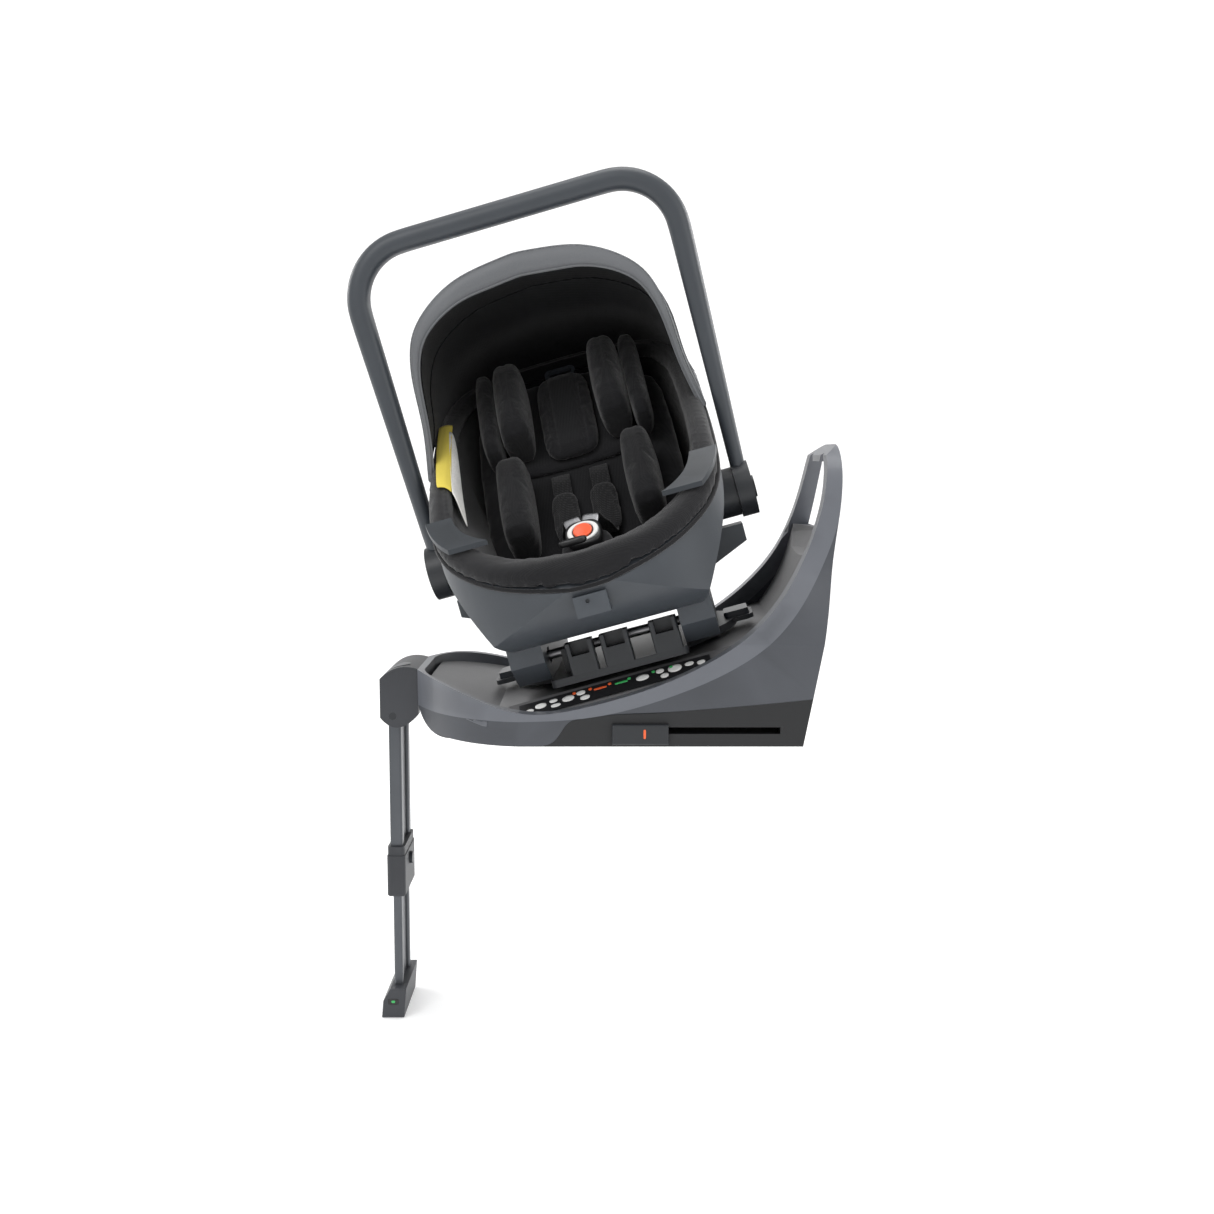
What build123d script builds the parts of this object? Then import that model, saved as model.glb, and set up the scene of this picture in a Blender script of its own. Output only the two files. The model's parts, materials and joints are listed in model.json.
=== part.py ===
"""Infant car seat: a carrier with handle and canopy on a swivel base with rebound frame and support leg.

Frame: +Z up, X along the base from the support leg (-X) to the rebound frame (+X), origin in the plane
of the base's underside. The seat platform is inclined, so the carrier has its own tilted frame.
"""
from build123d import *
from math import cos, sin, radians, degrees, atan2
import os

os.makedirs("parts", exist_ok=True)

# ---- driving dimensions (mm, degrees) -----------------------------------------------------------
PLATFORM_TILT = 15.5          # incline of the swivel platform, rising towards the rebound frame
SWIVEL_AT_REST = 3.0          # the carrier stands this far past square to the base
PLATFORM_X, PLATFORM_Z = 24, 90
FIT = 0.4                     # clearance between neighbours of different bodies

BASE_HALF_WIDTH = 214
BASE_BACK_X = 230
BASE_FLAT_FRONT_X = -190
LOOP_TOP_Z = 354
LOOP_BAR = 22
BAND_WALL = 14
DECK_DROP = 12                # deck surface below the platform plane
DECK_PANEL = 5

ANCHOR_SPACING = 280
ANCHOR_Z = 19
ANCHOR_TRAVEL = 130

LEG_X, LEG_PIVOT_Z = -274, 8
LEG_HALF_WIDTH = 42
LEG_RAIL = 16
COLLAR_TOP_Z, COLLAR_BOTTOM_Z = -166, -232
FOOT_TOP_Z, FOOT_BOTTOM_Z = -361, -391

HUB_Y, HUB_Z, HUB_RADIUS = -30, 160, 31
SHELL_HALF_WIDTH = 178
LIP_Y, TAIL_Y = -275, 295
HANDLE_HALF_WIDTH, HANDLE_TOP_Z, HANDLE_CORNER = 211, 590, 84
HANDLE_FLARE = 13             # each side leans out this far by the top
HANDLE_THICK, HANDLE_DEEP = 19, 32
HANDLE_TOP_THICK = 30
CANOPY_REACH = 363            # hub axis to the top of the canopy
CANOPY_HALF_WIDTH = 166

tilt = Location((PLATFORM_X, 0, PLATFORM_Z), (0, -PLATFORM_TILT, 0))
PLATFORM = tilt
SEAT = tilt * Location((0, 0, 0), (0, 0, -SWIVEL_AT_REST))
BASE = Location((0, 0, 0))
PLATFORM_SECTION = Plane(tilt * Plane(origin=(-150, 0, 0), x_dir=(0, 1, 0), z_dir=(1, 0, 0)).location)


def keep(piece, name, place=BASE):
    """Place a finished piece, label it and write it as its own STEP file."""
    placed = piece.moved(place)
    placed.label = name
    export_step(placed, f"parts/{name}.step")
    return placed


def across(outline, half_width, plane=Plane.XZ):
    """A closed sketch drawn in a vertical plane, extruded evenly to both sides."""
    with BuildPart(mode=Mode.PRIVATE) as solid:
        with BuildSketch(plane.offset(-half_width)):
            add(outline)
        extrude(amount=2 * half_width)
    return solid.part


def smooth_outline(*curves):
    """A closed face from runs of points: two points make a line, more make a spline."""
    with BuildSketch(mode=Mode.PRIVATE) as face:
        with BuildLine():
            for run in curves:
                if len(run) == 2:
                    Line(*run)
                else:
                    Spline(*run)
        make_face()
    return face.sketch


def block(x0, x1, y0, y1, z0, z1, corner=0):
    """A box between two corners, with its upright edges rounded."""
    with BuildPart(mode=Mode.PRIVATE) as box:
        with Locations(((x0 + x1) / 2, (y0 + y1) / 2, (z0 + z1) / 2)):
            Box(x1 - x0, y1 - y0, z1 - z0)
        if corner:
            fillet(box.edges().filter_by(Axis.Z), corner)
    return box.part


def mirrored(points):
    return [(-x, y) for x, y in points]


# ---- base: outlines that its pieces share -------------------------------------------------------
RIM = [(-241, 69), (-156, 53), (-90, 38), (-22, 47), (94, 86), (179, 141), (226, 197), (253, 253), (271, 340)]
SEAM = [(-240, 24), (-122, 29), (-22, 34), (91, 65), (181, 113), (237, 173), (269, 230), (280, 260)]
BACK = [(BASE_BACK_X, 0), (260, 154), (280, 260)]
PLAN_NOSE = [(-246, 50), (-226, 100), (-196, 155), (-150, 198), (-80, BASE_HALF_WIDTH)]
PLAN_REAR_X = 300
ARCH_SIDE = [(BASE_HALF_WIDTH, 120), (186, 168), (152, 212), (132, 268), (106, 322), (62, 350)]


def plan_outline(inset=0):
    """The base seen from above, blunt at the leg end."""
    side = [(x, y - inset) for x, y in PLAN_NOSE]
    side[0] = (side[0][0] + inset, side[0][1])
    near = [(x, -y) for x, y in side]
    rear = (PLAN_REAR_X, side[-1][1])
    near_rear = (PLAN_REAR_X, -side[-1][1])
    return smooth_outline(side, [side[-1], rear], [rear, near_rear], [near_rear, near[-1]], near,
                          [near[0], side[0]])


def arch_outline(inset=0):
    """The base seen along X: straight sides that close into the rebound frame's arch."""
    side = [(y - inset, z - inset * 0.4) for y, z in ARCH_SIDE]
    top_z = LOOP_TOP_Z - inset
    right = side + [(30, top_z)]
    left = mirrored(right)
    floor_z = -5
    return smooth_outline([(side[0][0], floor_z), side[0]], right, [right[-1], left[-1]], left,
                          [left[0], (left[0][0], floor_z)], [(left[0][0], floor_z), (side[0][0], floor_z)])


def upright(outline, height, start=-10):
    with BuildPart(mode=Mode.PRIVATE) as solid:
        with BuildSketch(Plane.XY.offset(start)):
            add(outline)
        extrude(amount=height)
    return solid.part


def along_x(outline, start, length):
    with BuildPart(mode=Mode.PRIVATE) as solid:
        with BuildSketch(Plane.YZ.offset(start)):
            add(outline)
        extrude(amount=length)
    return solid.part


base_envelope = upright(plan_outline(), 400) & along_x(arch_outline(), -300, 700)
base_core = upright(plan_outline(BAND_WALL), 400) & along_x(arch_outline(LOOP_BAR), -300, 700)

ANCHOR_Y = ANCHOR_SPACING / 2
ARM_HALF_WIDTH, ARM_HALF_HEIGHT = 14, 9
CHANNEL_GAP = 1.5
STEM_X0, STEM_X1, STEM_HALF_HEIGHT = 54, 70, 3
LEG_BAY_HALF_WIDTH, LEG_BAY_Z = 60, 25

slope = cos(radians(PLATFORM_TILT)), sin(radians(PLATFORM_TILT))


def platform_point(u, w):
    """Side-view point of the base for a point u along and w above the platform."""
    return PLATFORM_X + u * slope[0] - w * slope[1], PLATFORM_Z + u * slope[1] + w * slope[0]


def swing_room(grow=0):
    """Room that the carrier's lip and tail sweep out over the base as the platform turns."""
    reach = [(0, 45), (214, 45), (262, 62), (282, 79), (288, 106), (288, 150), (0, 150)]
    with BuildPart(mode=Mode.PRIVATE) as room:
        with BuildSketch(Plane.XZ):
            with BuildLine():
                Polyline(*[(radius + grow if radius else 0, height - grow) for radius, height in reach], close=True)
            make_face()
        revolve(axis=Axis.Z)
    return room.part.moved(PLATFORM)


def deck_core(sink):
    """Solid under the deck surface inside the band, lowered by sink: its sides slope down to the rim."""
    front, rear = platform_point(-165, -DECK_DROP - sink), platform_point(196, -DECK_DROP - sink)
    panel = [rear, (232 + sink, 160), (247 + sink, 205), (256 + sink, 246)]
    low_front = (-226, 58 - sink)
    profile = smooth_outline([(BASE_FLAT_FRONT_X, 0), (BASE_BACK_X, 0)], BACK[:-1] + [(278, 246)],
                             [(278, 246), panel[-1]], panel[::-1], [rear, front], [front, low_front],
                             [low_front, (-240, 24)], [(-240, 24), (-226, 6), (BASE_FLAT_FRONT_X, 0)])
    with BuildPart() as core:
        add(across(profile, 230) & base_core)
        for side in (-1, 1):
            with BuildSketch(PLATFORM_SECTION):
                with BuildLine():
                    Polyline((side * 160, -DECK_DROP - sink), (side * 225, -DECK_DROP - sink),
                             (side * 225, -44 - sink), close=True)
                make_face()
            extrude(amount=300, mode=Mode.SUBTRACT)
        add(swing_room(sink), mode=Mode.SUBTRACT)
    return core.part


def lower_housing():
    """Lower tray of the base, with the anchor channels, their side slots and the folded leg's bay."""
    profile = smooth_outline([(BASE_FLAT_FRONT_X, 0), (BASE_BACK_X, 0)], BACK, SEAM[::-1],
                             [SEAM[0], (-226, 6), (BASE_FLAT_FRONT_X, 0)])
    with BuildPart() as housing:
        add((across(profile, 230) & base_envelope) - base_core)
        add(swing_room(DECK_PANEL), mode=Mode.SUBTRACT)
        add(deck_core(DECK_PANEL))
        for side in (-1, 1):
            y0, y1 = sorted((side * (ANCHOR_Y - ARM_HALF_WIDTH - CHANNEL_GAP),
                             side * (ANCHOR_Y + ARM_HALF_WIDTH + CHANNEL_GAP)))
            z0 = ANCHOR_Z - ARM_HALF_HEIGHT - CHANNEL_GAP
            z1 = ANCHOR_Z + ARM_HALF_HEIGHT + CHANNEL_GAP
            add(block(-2, 300, y0, y1, z0, z1), mode=Mode.SUBTRACT)
            s0, s1 = sorted((side * ANCHOR_Y, side * 230))
            slot_half = STEM_HALF_HEIGHT + 1
            add(block(STEM_X0 - 2, STEM_X1 + ANCHOR_TRAVEL + 3, s0, s1, ANCHOR_Z - slot_half,
                      ANCHOR_Z + slot_half), mode=Mode.SUBTRACT)
        add(block(-300, 185, -LEG_BAY_HALF_WIDTH, LEG_BAY_HALF_WIDTH, -10, LEG_BAY_Z), mode=Mode.SUBTRACT)
    return housing.part


def rebound_frame():
    """Blue-grey side band that runs round the rim and sweeps up into the rebound frame's arch."""
    profile = smooth_outline(SEAM, [SEAM[-1], (286, 300), (289, LOOP_TOP_Z)], [(289, LOOP_TOP_Z), RIM[-1]],
                             RIM[::-1], [RIM[0], SEAM[0]])
    with BuildPart() as frame:
        add((across(profile, 230) & base_envelope) - base_core)
        add(swing_room(), mode=Mode.SUBTRACT)
    return frame.part


def deck():
    """Deck round the platform: a low front, the inclined middle and a concave back panel."""
    with BuildPart() as panel:
        add(deck_core(0) - deck_core(DECK_PANEL))
    return panel.part


keep(lower_housing(), "base_lower_housing")
keep(rebound_frame(), "rebound_frame")
keep(deck(), "base_deck")


# ---- base: anchors, instruction strip, leg bracket ----------------------------------------------
def disc(radius, x0, x1, y, z, bore=0):
    """A round piece whose axis runs along X, from x0 to x1."""
    with BuildPart(mode=Mode.PRIVATE) as solid:
        with BuildSketch(Plane.YZ.offset(min(x0, x1))):
            with Locations((y, z)):
                Circle(radius)
                if bore:
                    Circle(bore, mode=Mode.SUBTRACT)
        extrude(amount=abs(x1 - x0))
    return solid.part


def column(radius, x, y, z0, z1, bore=0):
    """A round upright piece."""
    with BuildPart(mode=Mode.PRIVATE) as solid:
        with BuildSketch(Plane.XY.offset(z0)):
            with Locations((x, y)):
                Circle(radius)
                if bore:
                    Circle(bore, mode=Mode.SUBTRACT)
        extrude(amount=z1 - z0)
    return solid.part


ARM_REAR_X = 222
JAW_LENGTH = 20
for side, hand in ((-1, "near"), (1, "far")):
    y = side * ANCHOR_Y
    with BuildPart() as arm:
        add(block(0, ARM_REAR_X, y - ARM_HALF_WIDTH, y + ARM_HALF_WIDTH, ANCHOR_Z - ARM_HALF_HEIGHT,
                  ANCHOR_Z + ARM_HALF_HEIGHT))
        fillet(arm.edges().filter_by(Axis.X), 3)
        stem_y = sorted((y + side * (ARM_HALF_WIDTH - 2), side * (BASE_HALF_WIDTH + 1)))
        add(block(STEM_X0, STEM_X1, stem_y[0], stem_y[1], ANCHOR_Z - STEM_HALF_HEIGHT,
                  ANCHOR_Z + STEM_HALF_HEIGHT))
    keep(arm.part, f"anchor_arm_{hand}")
    with BuildPart() as jaw:
        add(block(ARM_REAR_X, ARM_REAR_X + JAW_LENGTH, y - 11, y + 11, ANCHOR_Z - 8, ANCHOR_Z + 8))
        with BuildSketch(Plane.XZ.offset(-y - 15)):
            with BuildLine():
                mouth_x = ARM_REAR_X + JAW_LENGTH
                Polyline((mouth_x, ANCHOR_Z + 6), (mouth_x - 8, ANCHOR_Z + 3.1), (mouth_x - 8, ANCHOR_Z - 3.1),
                         (mouth_x, ANCHOR_Z - 6), close=True)
            make_face()
            with Locations((mouth_x - 9, ANCHOR_Z)):
                Circle(3.1)
        extrude(amount=30, mode=Mode.SUBTRACT)
    keep(jaw.part, f"anchor_connector_{hand}")
    with BuildPart() as slider:
        pad_y = sorted((side * (BASE_HALF_WIDTH + 1), side * (BASE_HALF_WIDTH + 7)))
        add(block(6, 72, pad_y[0], pad_y[1], 3, 27))
        fillet(slider.faces().sort_by(Axis.Y)[-1 if side > 0 else 0].edges(), 2)
    keep(slider.part, f"anchor_slider_{hand}")


def strip():
    """Instruction strip that lies on the near slope of the deck."""
    fall = degrees(atan2(44 - DECK_DROP, 65))
    with BuildPart() as plate:
        with Locations(Location((-20, -180, -19.6), (fall, 0, 0))):
            Box(236, 26, 1)
    return plate.part


keep(strip(), "instruction_strip", PLATFORM)

LEG_BRACKET_X0, LEG_BRACKET_X1 = -290, -241
PIN_RADIUS = 5


def leg_bracket():
    """Fork at the front of the base that carries the leg's pivot."""
    outline = smooth_outline([(LEG_BRACKET_X1, 24), (LEG_BRACKET_X1, 69)],
                             [(LEG_BRACKET_X1, 69), (-268, 70), (LEG_BRACKET_X0, 56)],
                             [(LEG_BRACKET_X0, 56), (LEG_BRACKET_X0, 6)],
                             [(LEG_BRACKET_X0, 6), (LEG_X, -6), (LEG_BRACKET_X1, 10)],
                             [(LEG_BRACKET_X1, 10), (LEG_BRACKET_X1, 24)])
    with BuildPart() as bracket:
        add(across(outline, 58))
        add(block(-300, -230, -LEG_HALF_WIDTH - 1, LEG_HALF_WIDTH + 1, -20, 24), mode=Mode.SUBTRACT)
        with Locations(Location((LEG_X, 0, LEG_PIVOT_Z), (90, 0, 0))):
            Cylinder(PIN_RADIUS + 0.05, 200, mode=Mode.SUBTRACT)
    return bracket.part


keep(leg_bracket(), "leg_bracket")
with BuildPart() as pin:
    with Locations(Location((LEG_X, 0, LEG_PIVOT_Z), (90, 0, 0))):
        Cylinder(PIN_RADIUS, 116)
keep(pin.part, "leg_pivot_pin")


# ---- support leg --------------------------------------------------------------------------------
LOWER_RAIL = 11
LOWER_WEB, UPPER_WEB = 3, 8
LOWER_TOP_Z = -130
COLLAR_HALF_WIDTH, COLLAR_HALF_THICK = 48, 12
FOOT_HALF_WIDTH = 56


def rails(thick, rail_width, web, z0, z1, grow=0):
    """Twin-rail profile: two rails joined by a thin web, optionally grown all round."""
    centre = LEG_HALF_WIDTH - 9
    with BuildPart(mode=Mode.PRIVATE) as profile:
        with BuildSketch(Plane.XY.offset(z0)):
            with Locations((LEG_X, centre), (LEG_X, -centre)):
                RectangleRounded(thick + 2 * grow, rail_width + 2 * grow, 3)
            with Locations((LEG_X, 0)):
                Rectangle(web + 2 * grow, 2 * centre)
        extrude(amount=z1 - z0)
    return profile.part


with BuildPart() as upper_leg:
    add(rails(LEG_RAIL, 18, UPPER_WEB, COLLAR_TOP_Z - 40, 10))
    with Locations(Location((LEG_X, 0, LEG_PIVOT_Z), (90, 0, 0))):
        Cylinder(9, 2 * LEG_HALF_WIDTH)
        Cylinder(PIN_RADIUS + 0.05, 200, mode=Mode.SUBTRACT)
    add(rails(LOWER_RAIL, LOWER_RAIL + 2, LOWER_WEB, -300, -3, grow=FIT), mode=Mode.SUBTRACT)
keep(upper_leg.part, "leg_upper_profile")

with BuildPart() as collar:
    add(block(LEG_X - COLLAR_HALF_THICK, LEG_X + COLLAR_HALF_THICK, -COLLAR_HALF_WIDTH, COLLAR_HALF_WIDTH,
              COLLAR_BOTTOM_Z, COLLAR_TOP_Z - 12, 5))
    fillet(collar.faces().sort_by(Axis.Z)[0].edges(), 3)
    add(block(LEG_X - COLLAR_HALF_THICK + 1, LEG_X + COLLAR_HALF_THICK - 1, 1 - COLLAR_HALF_WIDTH,
              COLLAR_HALF_WIDTH - 1, COLLAR_TOP_Z - 12, COLLAR_TOP_Z, 5))
    add(rails(LEG_RAIL, 18, UPPER_WEB, COLLAR_TOP_Z - 40, 10), mode=Mode.SUBTRACT)
    add(rails(LOWER_RAIL, LOWER_RAIL + 2, LOWER_WEB, -300, -3, grow=FIT), mode=Mode.SUBTRACT)
    add(disc(8.4, LEG_X + 9.6, LEG_X + 20, 0, COLLAR_TOP_Z - 26), mode=Mode.SUBTRACT)
keep(collar.part, "leg_collar")
keep(disc(8, LEG_X + 12.2, LEG_X + 16, 0, COLLAR_TOP_Z - 26), "leg_height_button")
keep(rails(LOWER_RAIL, LOWER_RAIL + 2, LOWER_WEB, FOOT_TOP_Z - 5, LOWER_TOP_Z), "leg_lower_profile")


def leg_foot():
    """Foot with a sloped front and a flat sole."""
    outline = smooth_outline([(LEG_X - 20, FOOT_BOTTOM_Z), (LEG_X + 9, FOOT_BOTTOM_Z)],
                             [(LEG_X + 9, FOOT_BOTTOM_Z), (LEG_X + 12, FOOT_TOP_Z + 8)],
                             [(LEG_X + 12, FOOT_TOP_Z + 8), (LEG_X - 9, FOOT_TOP_Z + 8)],
                             [(LEG_X - 9, FOOT_TOP_Z + 8), (LEG_X - 18, FOOT_TOP_Z - 8)],
                             [(LEG_X - 18, FOOT_TOP_Z - 8), (LEG_X - 20, FOOT_BOTTOM_Z)])
    with BuildPart() as foot:
        add(across(outline, FOOT_HALF_WIDTH))
        add(rails(LOWER_RAIL, LOWER_RAIL + 2, LOWER_WEB, FOOT_TOP_Z - 5, LOWER_TOP_Z), mode=Mode.SUBTRACT)
    return foot.part


keep(leg_foot(), "leg_foot")

# ---- turntable: built in the carrier's frame, which is the platform's turned to the rest angle ----
BEARING_TOP = -5
PLATE_BOTTOM, PLATE_TOP = -4.6, 4.6
SPINDLE_RADIUS = 30
keep(column(118, 0, 0, -DECK_DROP, BEARING_TOP, bore=SPINDLE_RADIUS + 0.05), "turntable_bearing", PLATFORM)

WING_REACH, PLATE_RADIUS = 172, 150
LEVER_IN, LEVER_OUT = 136, 167
POST_BACK, POST_FRONT, POST_TOP = -150, -172, 43
CROSS_BAR_Y, CROSS_BAR_Z, CROSS_BAR_RADIUS = -118, 30, 6


def turntable_plate():
    with BuildPart() as plate:
        add(column(PLATE_RADIUS, 0, 0, PLATE_BOTTOM, PLATE_TOP))
        add(block(-85, 85, POST_FRONT, -100, PLATE_BOTTOM, PLATE_TOP, 8))
        add(block(-WING_REACH, WING_REACH, -38, 38, -1, PLATE_TOP, 12))
        add(column(SPINDLE_RADIUS, 0, 0, BEARING_TOP - 6, PLATE_BOTTOM))
        for side in (-1, 1):
            x0, x1 = sorted((side * (LEVER_IN - 1), side * (LEVER_OUT + 1)))
            add(block(x0, x1, -27, 27, 0.5, 20), mode=Mode.SUBTRACT)
            x0, x1 = sorted((side * 52, side * 68))
            add(block(x0, x1, CROSS_BAR_Y - 14, CROSS_BAR_Y + 14, PLATE_TOP, CROSS_BAR_Z + 4))
        add(block(-70, 70, CROSS_BAR_Y - 7, CROSS_BAR_Y + 7, CROSS_BAR_Z - 7, 60), mode=Mode.SUBTRACT)
    return plate.part


keep(turntable_plate(), "turntable_plate", SEAT)
for side, hand in ((-1, "left"), (1, "right")):
    x0, x1 = sorted((side * LEVER_IN, side * LEVER_OUT))
    keep(block(x0, x1, -26, 26, 3.2, 12, 5), f"swivel_lever_{hand}", SEAT)
for name, x0, x1 in (("left", -58, -24), ("centre", -15, 20), ("right", 46, 80)):
    with BuildPart() as post:
        add(block(x0, x1, POST_FRONT, POST_BACK, PLATE_TOP, POST_TOP, 3))
        add(block(x0 + 6, x1 - 6, POST_FRONT - 5, POST_BACK - 8, POST_TOP - 16, POST_TOP + 5), mode=Mode.SUBTRACT)
    keep(post.part, f"dock_post_{name}", SEAT)

# ---- carrier shell ------------------------------------------------------------------------------
RIM_LINE = [(-275, 112), (-262, 128), (-200, 172), (-120, 226), (HUB_Y, 268), (120, 328), (250, 372)]
SHELL_WALL, LINER = 7, 13
PAD_HEIGHT = 26


def bucket(inset=0, rise=0):
    """The carrier's tub: side, front and top outlines crossed, inset all round and raised by rise."""
    floor = 50 + inset
    tail = [(90, floor), (200 - 0.7 * inset, 128 + 0.7 * inset), (262 - inset, 240), (286 - inset, 335)]
    rim = [(y, z + rise) for y, z in RIM_LINE]
    rim[0] = (rim[0][0] + inset, rim[0][1])
    rim[-1] = (rim[-1][0] - inset, rim[-1][1])
    prow = [rim[0], (-262 + inset, 88 + 0.6 * inset), (-225 + 0.6 * inset, 64 + inset), (-172, floor)]
    side = smooth_outline([(-172, floor), (90, floor)], tail, [tail[-1], rim[-1]], rim[::-1], prow)
    half = [(112, 45), (124, 62), (140, 90), (160, 130), (174, 170), (SHELL_HALF_WIDTH, 250), (172, 430)]
    right = [(x - inset, z) for x, z in half]
    left = mirrored(right)
    front = smooth_outline(right, [right[-1], left[-1]], left, [left[0], right[0]])
    plan_half = [(0, LIP_Y - 1 + inset), (72 - inset * 0.4, LIP_Y + 9 + inset), (127 - 0.6 * inset, -238 + 0.7 * inset),
                 (165 - inset, -192), (SHELL_HALF_WIDTH - inset, -120), (SHELL_HALF_WIDTH - inset, 60),
                 (168 - inset, 170), (140 - 0.7 * inset, 246 - 0.6 * inset), (80 - 0.4 * inset, 282 - inset),
                 (0, TAIL_Y - 4 - inset)]
    plan = smooth_outline(plan_half, mirrored(plan_half)[::-1])
    return across_x(side) & across(front, 320, Plane.XZ) & upright(plan, 520)


def across_x(outline):
    """A closed sketch in the YZ plane, extruded evenly to both sides."""
    return along_x(outline, -230, 460)


def rim_strip(low, high, y0, y1):
    """Slab that follows the tub's rim line, between two heights above it and two stations along it."""
    below = [(y, z + low) for y, z in RIM_LINE]
    above = [(y, z + high) for y, z in RIM_LINE]
    first, last = (-300, below[0][1] - 20), (320, below[-1][1] + 22)
    lower_run = [first] + below + [last]
    first, last = (-300, above[0][1] - 20), (320, above[-1][1] + 22)
    upper_run = [first] + above + [last]
    slab = across_x(smooth_outline(lower_run, [lower_run[-1], upper_run[-1]], upper_run,
                                   [upper_run[0], lower_run[0]]))
    return slab & block(-240, 240, y0, y1, -50, 600)


outer_tub = bucket()
inner_tub = bucket(SHELL_WALL, rise=60)
liner_tub = bucket(SHELL_WALL + LINER, rise=60)
FIN_TOP = HUB_Z - 40
fin_outline = smooth_outline([(120, 70), (188, 98)], [(188, 98), (188, FIN_TOP)], [(188, FIN_TOP), (140, FIN_TOP)],
                             [(140, FIN_TOP), (120, 70)])
with BuildPart() as shell:
    add(outer_tub)
    fin_slab = block(128, 220, HUB_Y - 24, HUB_Y + 24, 50, 300)
    add(across(fin_outline, 300, Plane.XZ) & fin_slab)
    add((across(fin_outline, 300, Plane.XZ) & fin_slab).mirror(Plane.YZ))
    add(inner_tub, mode=Mode.SUBTRACT)
    add(rim_strip(0, 300, -400, 400), mode=Mode.SUBTRACT)
keep(max(shell.part.solids(), key=lambda solid: solid.volume), "carrier_shell", SEAT)

# ---- carrier: rails, hubs, trims ----------------------------------------------------------------
RAIL_INNER, RAIL_OUTER = 84, 126
HUB_PIN_RADIUS = 8
HUB_OUT_X = 191.4
BOW_X0, BOW_X1 = 184, 189
rail_profile = smooth_outline([(-150, 5), (110, 5)], [(110, 5), (215, 110)], [(215, 110), (228, 190)],
                              [(228, 190), (150, 200)], [(150, 200), (0, 100)], [(0, 100), (-150, 100)],
                              [(-150, 100), (-178, 75)], [(-178, 75), (-178, 30)], [(-178, 30), (-150, 5)])
for side, hand in ((-1, "left"), (1, "right")):
    x0, x1 = sorted((side * RAIL_INNER, side * RAIL_OUTER))
    with BuildPart() as rail:
        with BuildSketch(Plane.YZ.offset(x0)):
            add(rail_profile)
        extrude(amount=x1 - x0)
        add(outer_tub, mode=Mode.SUBTRACT)
        add(block(-300, 300, -CROSS_BAR_RADIUS + CROSS_BAR_Y - 4, CROSS_BAR_Y + CROSS_BAR_RADIUS + 4,
                  CROSS_BAR_Z - 10, CROSS_BAR_Z + 10) & block(-98, 98, -400, 400, 0, 100), mode=Mode.SUBTRACT)
    keep(max(rail.part.solids(), key=lambda solid: solid.volume), f"carrier_rail_{hand}", SEAT)
keep(disc(CROSS_BAR_RADIUS, -98, 98, CROSS_BAR_Y, CROSS_BAR_Z), "dock_cross_bar", SEAT)

for side, hand in ((-1, "left"), (1, "right")):
    with BuildPart() as hub:
        add(disc(HUB_RADIUS, side * (SHELL_HALF_WIDTH - 12), side * HUB_OUT_X, HUB_Y, HUB_Z))
        add(disc(HUB_PIN_RADIUS, side * HUB_OUT_X, side * 204.5, HUB_Y, HUB_Z))
        add(outer_tub, mode=Mode.SUBTRACT)
    keep(max(hub.part.solids(), key=lambda solid: solid.volume), f"hub_{hand}", SEAT)

TAB_PROUD = 3
with BuildPart() as tab:
    add(block(-22, 17, LIP_Y - TAB_PROUD, LIP_Y + 30, 80, 104) - outer_tub)
    with Locations(Location((-6, LIP_Y - TAB_PROUD, 97), (90, 0, 0))):
        Cylinder(2.5, 6, mode=Mode.SUBTRACT)
keep(max(tab.part.solids(), key=lambda solid: solid.volume), "carrier_release_tab", SEAT)

# ---- carrier: padding (plain closed solids) -----------------------------------------------------
PAD_INNER = bucket(32, rise=60)
PAD_OUTER = bucket(-4, rise=60)
REAR_START = -60
with BuildPart() as liner:
    add(inner_tub - liner_tub)
    add(rim_strip(-1, 300, -400, 400), mode=Mode.SUBTRACT)
rim_ring = PAD_OUTER - PAD_INNER
keep(rim_ring & rim_strip(0.2, PAD_HEIGHT, -400, REAR_START), "seat_rim_pad_front", SEAT)
keep(rim_ring & rim_strip(0.2, PAD_HEIGHT, REAR_START, 400), "seat_rim_pad_rear", SEAT)

GUIDE_Y0, GUIDE_Y1 = -222, -168
guide_ring = (bucket(-6, rise=60) - bucket(28, rise=60)) & rim_strip(PAD_HEIGHT + 0.2, PAD_HEIGHT + 6,
                                                                     GUIDE_Y0, GUIDE_Y1)
for side, hand in ((-1, "left"), (1, "right")):
    x0, x1 = sorted((side * 100, side * 220))
    keep(guide_ring & block(x0, x1, GUIDE_Y0, GUIDE_Y1, 0, 500), f"belt_guide_{hand}", SEAT)

RECLINE = 43
BACK_FOOT = (-60, 130)


def back_frame(s=0, n=0):
    """Plane on the backrest line: local x across, y up the back, z out of the back."""
    d = cos(radians(RECLINE)), sin(radians(RECLINE))
    origin = (0, BACK_FOOT[0] + s * d[0] - n * d[1], BACK_FOOT[1] + s * d[1] + n * d[0])
    return Plane(origin, x_dir=(1, 0, 0), z_dir=(0, -d[1], d[0]))


def back_block(x0, x1, s0, s1, n0, n1, corner=0):
    """A box in the backrest's own directions."""
    return block(x0, x1, s0, s1, n0, n1, corner).moved(back_frame().location)


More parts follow.
